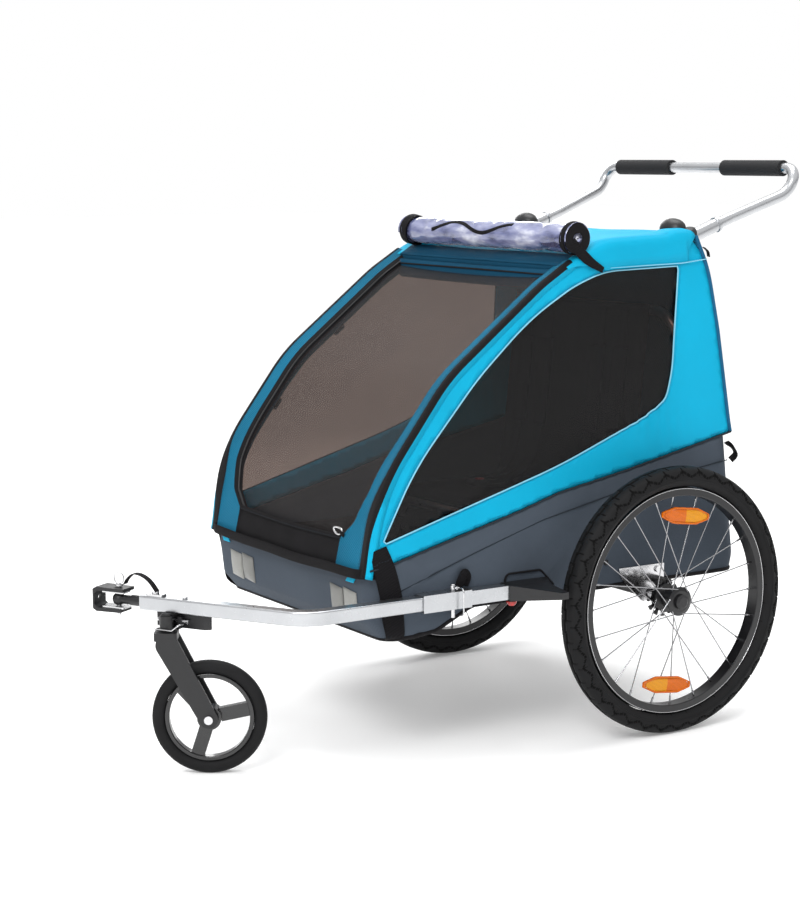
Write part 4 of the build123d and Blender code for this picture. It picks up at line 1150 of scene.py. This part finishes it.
def harness():
    for name, side in SIDES.items():
        for k, off in enumerate((-0.034, 0.034)):
            x = side * 0.118 + off
            line = strap_line([(x - off * 0.55, -0.096, 0.417), (x - off * 0.3, -0.04, 0.424), (x, 0.002, 0.46),
                               (x, 0.018, 0.52), (x, 0.034, 0.64), (x, 0.048, 0.772)], 0.01)
            strap = tape(f"{name}_shoulder_strap_{k + 1}", line, 0.025, 0.002, up=(0, -1, 0.3))
            folds_down(strap)
            padded = line[int(len(line) * 0.45):int(len(line) * 0.85)]
            folds_down(tape(f"{name}_shoulder_pad_{k + 1}", padded, 0.04, 0.009, up=(0, -1, 0.3),
                            material="fabric_dark", slot="fabric_dark"))
            if side > 0 and k == 0:
                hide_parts("shoulder_straps")
        lap = strap_line([(side * 0.015, -0.03, 0.408), (side * 0.06, -0.085, 0.412), (side * 0.118, -0.1, 0.409),
                          (side * 0.18, -0.07, 0.411), (side * 0.225, -0.01, 0.408)], 0.008)
        folds_down(tape(f"{name}_lap_strap", lap, 0.025, 0.002, up=(0, 0, 1)))


harness()

# ---- straps and small fittings on the sides
def tab_strap(name, side):
    """The broad strap that comes out at the foot of the arch and goes down behind the tow arm and under."""
    left = [(-0.611, 0.39), (-0.606, 0.359), (-0.594, 0.309), (-0.589, 0.271), (-0.582, 0.24), (-0.572, 0.2275)]
    right = [(-0.581, 0.399), (-0.565, 0.362), (-0.551, 0.314), (-0.546, 0.274), (-0.545, 0.236), (-0.548, 0.2275)]
    lift = [0.0045, 0.0062, 0.0055, 0.005, 0.0045, -0.016]
    lines = []
    for t in np.linspace(0, 1, 9):
        pts = []
        for (ly, lz), (ry, rz), up in zip(left, right, lift):
            y, z = ly + (ry - ly) * t, lz + (rz - lz) * t
            pts.append((side * (HALF + up - 0.2 * corner_inset(-0.575 - y)), y, z))
        lines.append(strap_line(pts, 0.006))
    n = min(len(line) for line in lines)
    rows = [[line[i] for line in lines] for i in range(n)]
    strap = grid(f"{name}_side_strap", rows, "webbing", None)
    thicken(strap, 0.0022, 1.0 if side > 0 else -1.0)
    folds_down(strap)
    row = [rows[4][k] + Vector((side * 0.0024, 0, 0)) for k in range(9)]
    folds_down(stitches(f"{name}_side_strap_stitching", row, (side, 0, 0), "slate_thread", "root"))


def side_fittings(name, side):
    x = side * (HALF + 0.0035)
    snap = [(0.0, 0.0055), (0.002, 0.005), (0.0036, 0.0026), (0.0038, 0.0)]
    folds_down(lathe(f"{name}_tub_snap", snap, lambda along, r, a: at(
        side * (HALF + 0.002 + along), -0.1 + r * math.cos(a), 0.318 + r * math.sin(a)), "black_metal", None,
        20))
    seam = [tub_seam_point(y, z, side) for y, z in spaced(np.array(TUB_SEAM), 0.012, closed=False)]
    folds_down(tube(f"{name}_tub_seam", seam, 0.0012, "slate_thread", "root", "fabric_slate"))
    arch = rounded([(-0.33, 0.298), (-0.33, 0.322), (-0.251, 0.322), (-0.222, 0.292)], [0.012, 0.012])
    line = [at(x, y, z) for y, z in spaced(arch, 0.004, closed=False)]
    folds_down(tube(f"{name}_guard_cut_out_piping", line, 0.0019, "zip", "root", "fabric_slate"))
    loop = strap_line([(x, -0.434, 0.303), (x + side * 0.006, -0.43, 0.322), (x + side * 0.009, -0.423, 0.336),
                       (x + side * 0.004, -0.414, 0.329), (x + side * 0.001, -0.419, 0.312)], 0.003)
    folds_down(tape(f"{name}_arm_loop", loop, 0.016, 0.0022, up=(side, 0, 0.4)))
    rear = strap_line([(side * (HALF - 0.004), 0.193, 0.521), (side * (HALF + 0.002), 0.203, 0.511),
                       (side * (HALF + 0.003), 0.211, 0.497), (side * (HALF - 0.003), 0.204, 0.485)], 0.003)
    folds_down(tape(f"{name}_rear_tab", rear, 0.02, 0.0022, up=(side * 0.3, 1, 0)))
    small = strap_line([(side * (HALF - 0.002), 0.126, 0.893), (side * (HALF - 0.001), 0.134, 0.886),
                        (side * (HALF - 0.001), 0.137, 0.876)], 0.002)
    tape(f"{name}_rear_loop", small, 0.012, 0.002, "upper_frame", (side * 0.3, 1, 0.3))


def tub_seam_point(y, z, side):
    wave = 0.0016 * wobble((side * HALF, y, z), 8.0, 9)
    return at(side * (HALF + 0.0026 + wave), y, z)


for name, side in SIDES.items():
    tab_strap(name, side)
    side_fittings(name, side)

def safety_strap():
    """The webbing that goes from the anchor on the tow arm to the hitch."""
    way = Vector((-0.8533, -0.5215, 0))
    origin = at(0.03, -0.917, 0.294)
    route = [(-0.03, 0.0195), (-0.0275, 0.023), (-0.014, 0.038), (0.002, 0.0465), (0.018, 0.0475), (0.03, 0.038),
             (0.0365, 0.028)]
    line = curve_through([origin + way * a + Vector((0, 0, h)) for a, h in route], 0.002)
    across = way.cross(Vector((0, 0, 1)))
    strap = tape("safety_webbing", line, 0.014, 0.0018, None,
                 lambda i: across.cross(line[min(i + 1, len(line) - 1)] - line[max(i - 1, 0)]))
    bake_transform(strap)
    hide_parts("safety_strap")


safety_strap()

# ---- rolled rain cover
def about_roll(x, r, a):
    return ROLL + Vector((x, r * math.cos(a), r * math.sin(a)))


def roll():
    """Spiral of clear film, flattened and creased, held by an elastic and a strap at each end."""
    radius = 0.0272
    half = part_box("rain_cover_roll")[1].x
    far = -0.252

    def film_point(x, a):
        end = smooth_step(half, half - 0.03, x) * smooth_step(far, far + 0.03, x)
        crease = 0.35 * abs(wobble((x * 1.3, math.cos(a) * 0.05, math.sin(a) * 0.05), 24, 4))
        swell = 0.22 * wobble((x, math.cos(a) * 0.03, math.sin(a) * 0.03), 9, 8)
        pinch = 0.1 * math.exp(-((x - 0.2) / 0.015) ** 2) + 0.08 * math.exp(-((x + 0.23) / 0.015) ** 2)
        return about_roll(x, radius * (0.985 - 0.26 * crease - 0.12 * abs(swell) - pinch) * (0.9 + 0.1 * end), a)

    rows = rows_of(np.linspace(far, half - 0.001, 120), turns(56), film_point)
    film = grid("rain_cover_film", rows, "clear_pvc", "upper_frame", loop=True)
    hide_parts("rain_cover_roll")
    for name, side in SIDES.items():
        x = half - 0.003 if side > 0 else far + 0.003
        spiral = [about_roll(x, 0.003 + 0.0225 * i / 90, i * 0.32) for i in range(90)]
        tape(f"{name}_film_end", spiral, 0.0011, 0.012, "upper_frame", material="clear_pvc", slot="clear_pvc")
    core = [ROLL + Vector((x, 0.002 * math.sin(x * 30), 0.001))
            for x in np.linspace(far + 0.006, half - 0.006, 40)]
    tube("rain_cover_core", core, 0.02, "film_core", "upper_frame", "clear_pvc", n=20, up=(0, 0, 1))
    wave = [about_roll(x, 0.0262, math.radians(152 + 22 * math.sin(x * 34 + 0.6)))
            for x in np.linspace(-0.14, 0.12, 60)]
    tape("roll_elastic", wave, 0.007, 0.0016, "upper_frame",
         lambda i: wave[i] - Vector((wave[i].x, ROLL.y, ROLL.z)))
    for name, x, width in (("left", 0.2845, 0.014), ("right", far + 0.012, 0.024)):
        ring = [about_roll(x + 0.004 * math.sin(a), 0.0288, a) for a in turns(40)]
        centre = about_roll(x, 0, 0)
        tape(f"{name}_roll_strap", ring, width, 0.0022, "upper_frame", lambda i: ring[i] - centre, closed=True)
    tail = [(0.2945, -0.014, -0.006), (0.2965, 0.004, -0.024), (0.298, 0.028, -0.043), (0.298, 0.056, -0.058)]
    tape("roll_strap_tail", curve_through([ROLL + Vector(p) for p in tail], 0.004), 0.02, 0.0024, "upper_frame",
         (1, -0.08, 0.1), scale=lambda t: 1 - 0.45 * max(0.0, t - 0.5) * 2)
    disc = [(0.0, 0.0095), (0.0, 0.026), (0.0015, 0.028), (0.004, 0.0285), (0.0052, 0.026), (0.0058, 0.02),
            (0.0056, 0.014), (0.0046, 0.0098), (0.003, 0.0085)]
    lathe("roll_end_disc", disc, lambda along, r, a: about_roll(0.2905 + along, r, a), "black_cloth",
          "upper_frame", 40)


roll()

# ---- wheels
DEEP_GROOVE = 0.0024


def tyre(name, side):
    """A road tyre with a scalloped shoulder, drawn as half its section and mirrored."""
    low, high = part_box(f"{name}_tyre")
    centre = (low + high) / 2
    width = (high.x - low.x) / 2
    section = [(-0.45, 0.213), (-0.72, 0.2165), (-0.9, 0.2215), (-0.985, 0.2275), (-0.99, 0.2305), (-0.98, 0.233),
               (-0.965, 0.2352), (-0.945, 0.2372), (-0.92, 0.2391), (-0.89, 0.2408), (-0.85, 0.2424), (-0.8, 0.244),
               (-0.73, 0.2456), (-0.64, 0.247), (-0.52, 0.2482), (-0.36, 0.249), (-0.18, 0.2495), (-0.05, 0.2497)]
    section += [(-a, r) for a, r in reversed(section)]
    count = 38
    rows = []
    steps = 24                                   # along each scallop of the shoulder
    groove = []
    for i in range(count * steps):
        a = 2 * math.pi * i / (count * steps)
        row = []
        marks = []
        for along, r in section:
            phase = (i / steps + (0.0 if along * side > 0 else 0.5)) % 1.0
            edge = 0.2335 + 0.0105 * abs(2 * phase - 1) ** 1.5
            in_line = abs(r - edge) < 0.0009 or (abs(phase - 0.5) > 0.47 and 0.2365 < r < 0.2478)
            in_sipe = abs(phase - 0.3) < 0.03 and 0.3 < abs(along) < 0.6
            if in_line or in_sipe or (abs(along) < 0.1 and abs(phase - 0.5) < 0.3):
                depth = DEEP_GROOVE
            else:
                depth = 0.0016 if 0.2315 < r < edge else 0.0
            marks.append(depth)
            row.append(centre + Vector((side * (along * width - math.copysign(depth * 0.7, along)),
                                        (r - depth * 0.8) * math.sin(a), (r - depth * 0.8) * math.cos(a))))
        rows.append(row)
        groove.append(marks)
    rows.append(rows[0])
    made = grid(f"{name}_tread_tyre", rows, ["tyre", "tyre_groove_painted_shade"], f"{name}_wheel")
    # Faces in the deepest grooves take the near-black rubber: painted shade in the grooves.
    n = len(section) - 1
    for k, face in enumerate(made.data.polygons):
        i, j = divmod(k, n)
        if max(groove[i][j], groove[i][j + 1]) == DEEP_GROOVE:
            face.material_index = 1
    weld(made, 0.00002)
    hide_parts(f"{name}_tyre")
    def wheel_ring(piece_name, x, r, thick, material, slot):
        line = [Vector((x, centre.y + r * math.sin(a), centre.z + r * math.cos(a))) for a in turns(120)]
        tube(piece_name, line, thick, material, f"{name}_wheel", slot, closed=True)

    for face, sign in enumerate((1, -1)):
        x = centre.x + sign * width * 0.965
        wheel_ring(f"{name}_tyre_bead_{face + 1}", x, 0.2262, 0.0008, "tyre", "tyre")
    # Thin steel rings on both faces of the black rim: a painted highlight along the rim's lip.
    rim_low, rim_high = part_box(f"{name}_rim")
    for face, x in enumerate((rim_low.x - 0.0002, rim_high.x + 0.0002)):
        wheel_ring(f"{name}_rim_lip_{face + 1}", x, 0.2095, 0.0007, "steel", "black_metal")


def reflector(name, side, number, turn):
    """A long six-sided lens in its frame, in two shades, with a square raised middle."""
    low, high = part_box(f"{name}_reflectors")
    centre = (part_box(f"{name}_tyre")[0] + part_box(f"{name}_tyre")[1]) / 2
    x = (low.x + high.x) / 2
    a = math.radians(turn)
    radial = Vector((0, math.sin(a), math.cos(a)))
    across = Vector((0, math.cos(a), -math.sin(a)))
    middle = Vector((x, centre.y, centre.z)) + radial * 0.158

    def ring(scale_u, scale_v, depth):
        half = [(0.056, -0.005), (0.056, 0.005), (0.027, 0.0155), (-0.027, 0.0155)]
        corners = rounded(half + [(-u, -v) for u, v in half], [0.003, 0.003, 0.02, 0.02] * 2, closed=True, steps=3)
        return [middle + across * u * scale_u + radial * v * scale_v + Vector((side * depth, 0, 0))
                for u, v in corners]

    frame_rows = [ring(0.97, 0.93, -0.003), ring(1, 1, -0.002), ring(1, 1, 0.0026), ring(0.985, 0.95, 0.0034),
                  ring(0.93, 0.78, 0.0034), ring(0.92, 0.76, 0.0022)]
    grid(f"{name}_reflector_frame_{number}", frame_rows, "reflector_amber", f"{name}_wheel",
         loop=True)
    def lens_point(v, u):
        reach = 0.0545 - 0.026 * max(0.0, abs(v) - 0.3) / 0.7
        dome = 0.0008 + 0.0012 * (1 - v * v) * (1 if abs(u) < 0.33 else 0.55)
        return middle + across * u * reach * 0.93 + radial * 0.0125 * v + Vector((side * (dome + 0.0012), 0, 0))

    rows = rows_of(np.linspace(-1, 1, 9), np.linspace(-1, 1, 33), lens_point)
    columns = [0 if j < 16 else 1 for j in range(32)]
    lens = grid(f"{name}_reflector_lens_{number}", rows, ["reflector_amber", "reflector_light"],
                f"{name}_wheel", column_material=columns)
    thicken(lens, 0.004, -1.0 if side > 0 else 1.0)
    return lens


for name, side in SIDES.items():
    tyre(name, side)
    lens = reflector(name, side, 1, 7)
    reflector(name, side, 2, 187)
    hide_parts(f"{name}_reflectors")
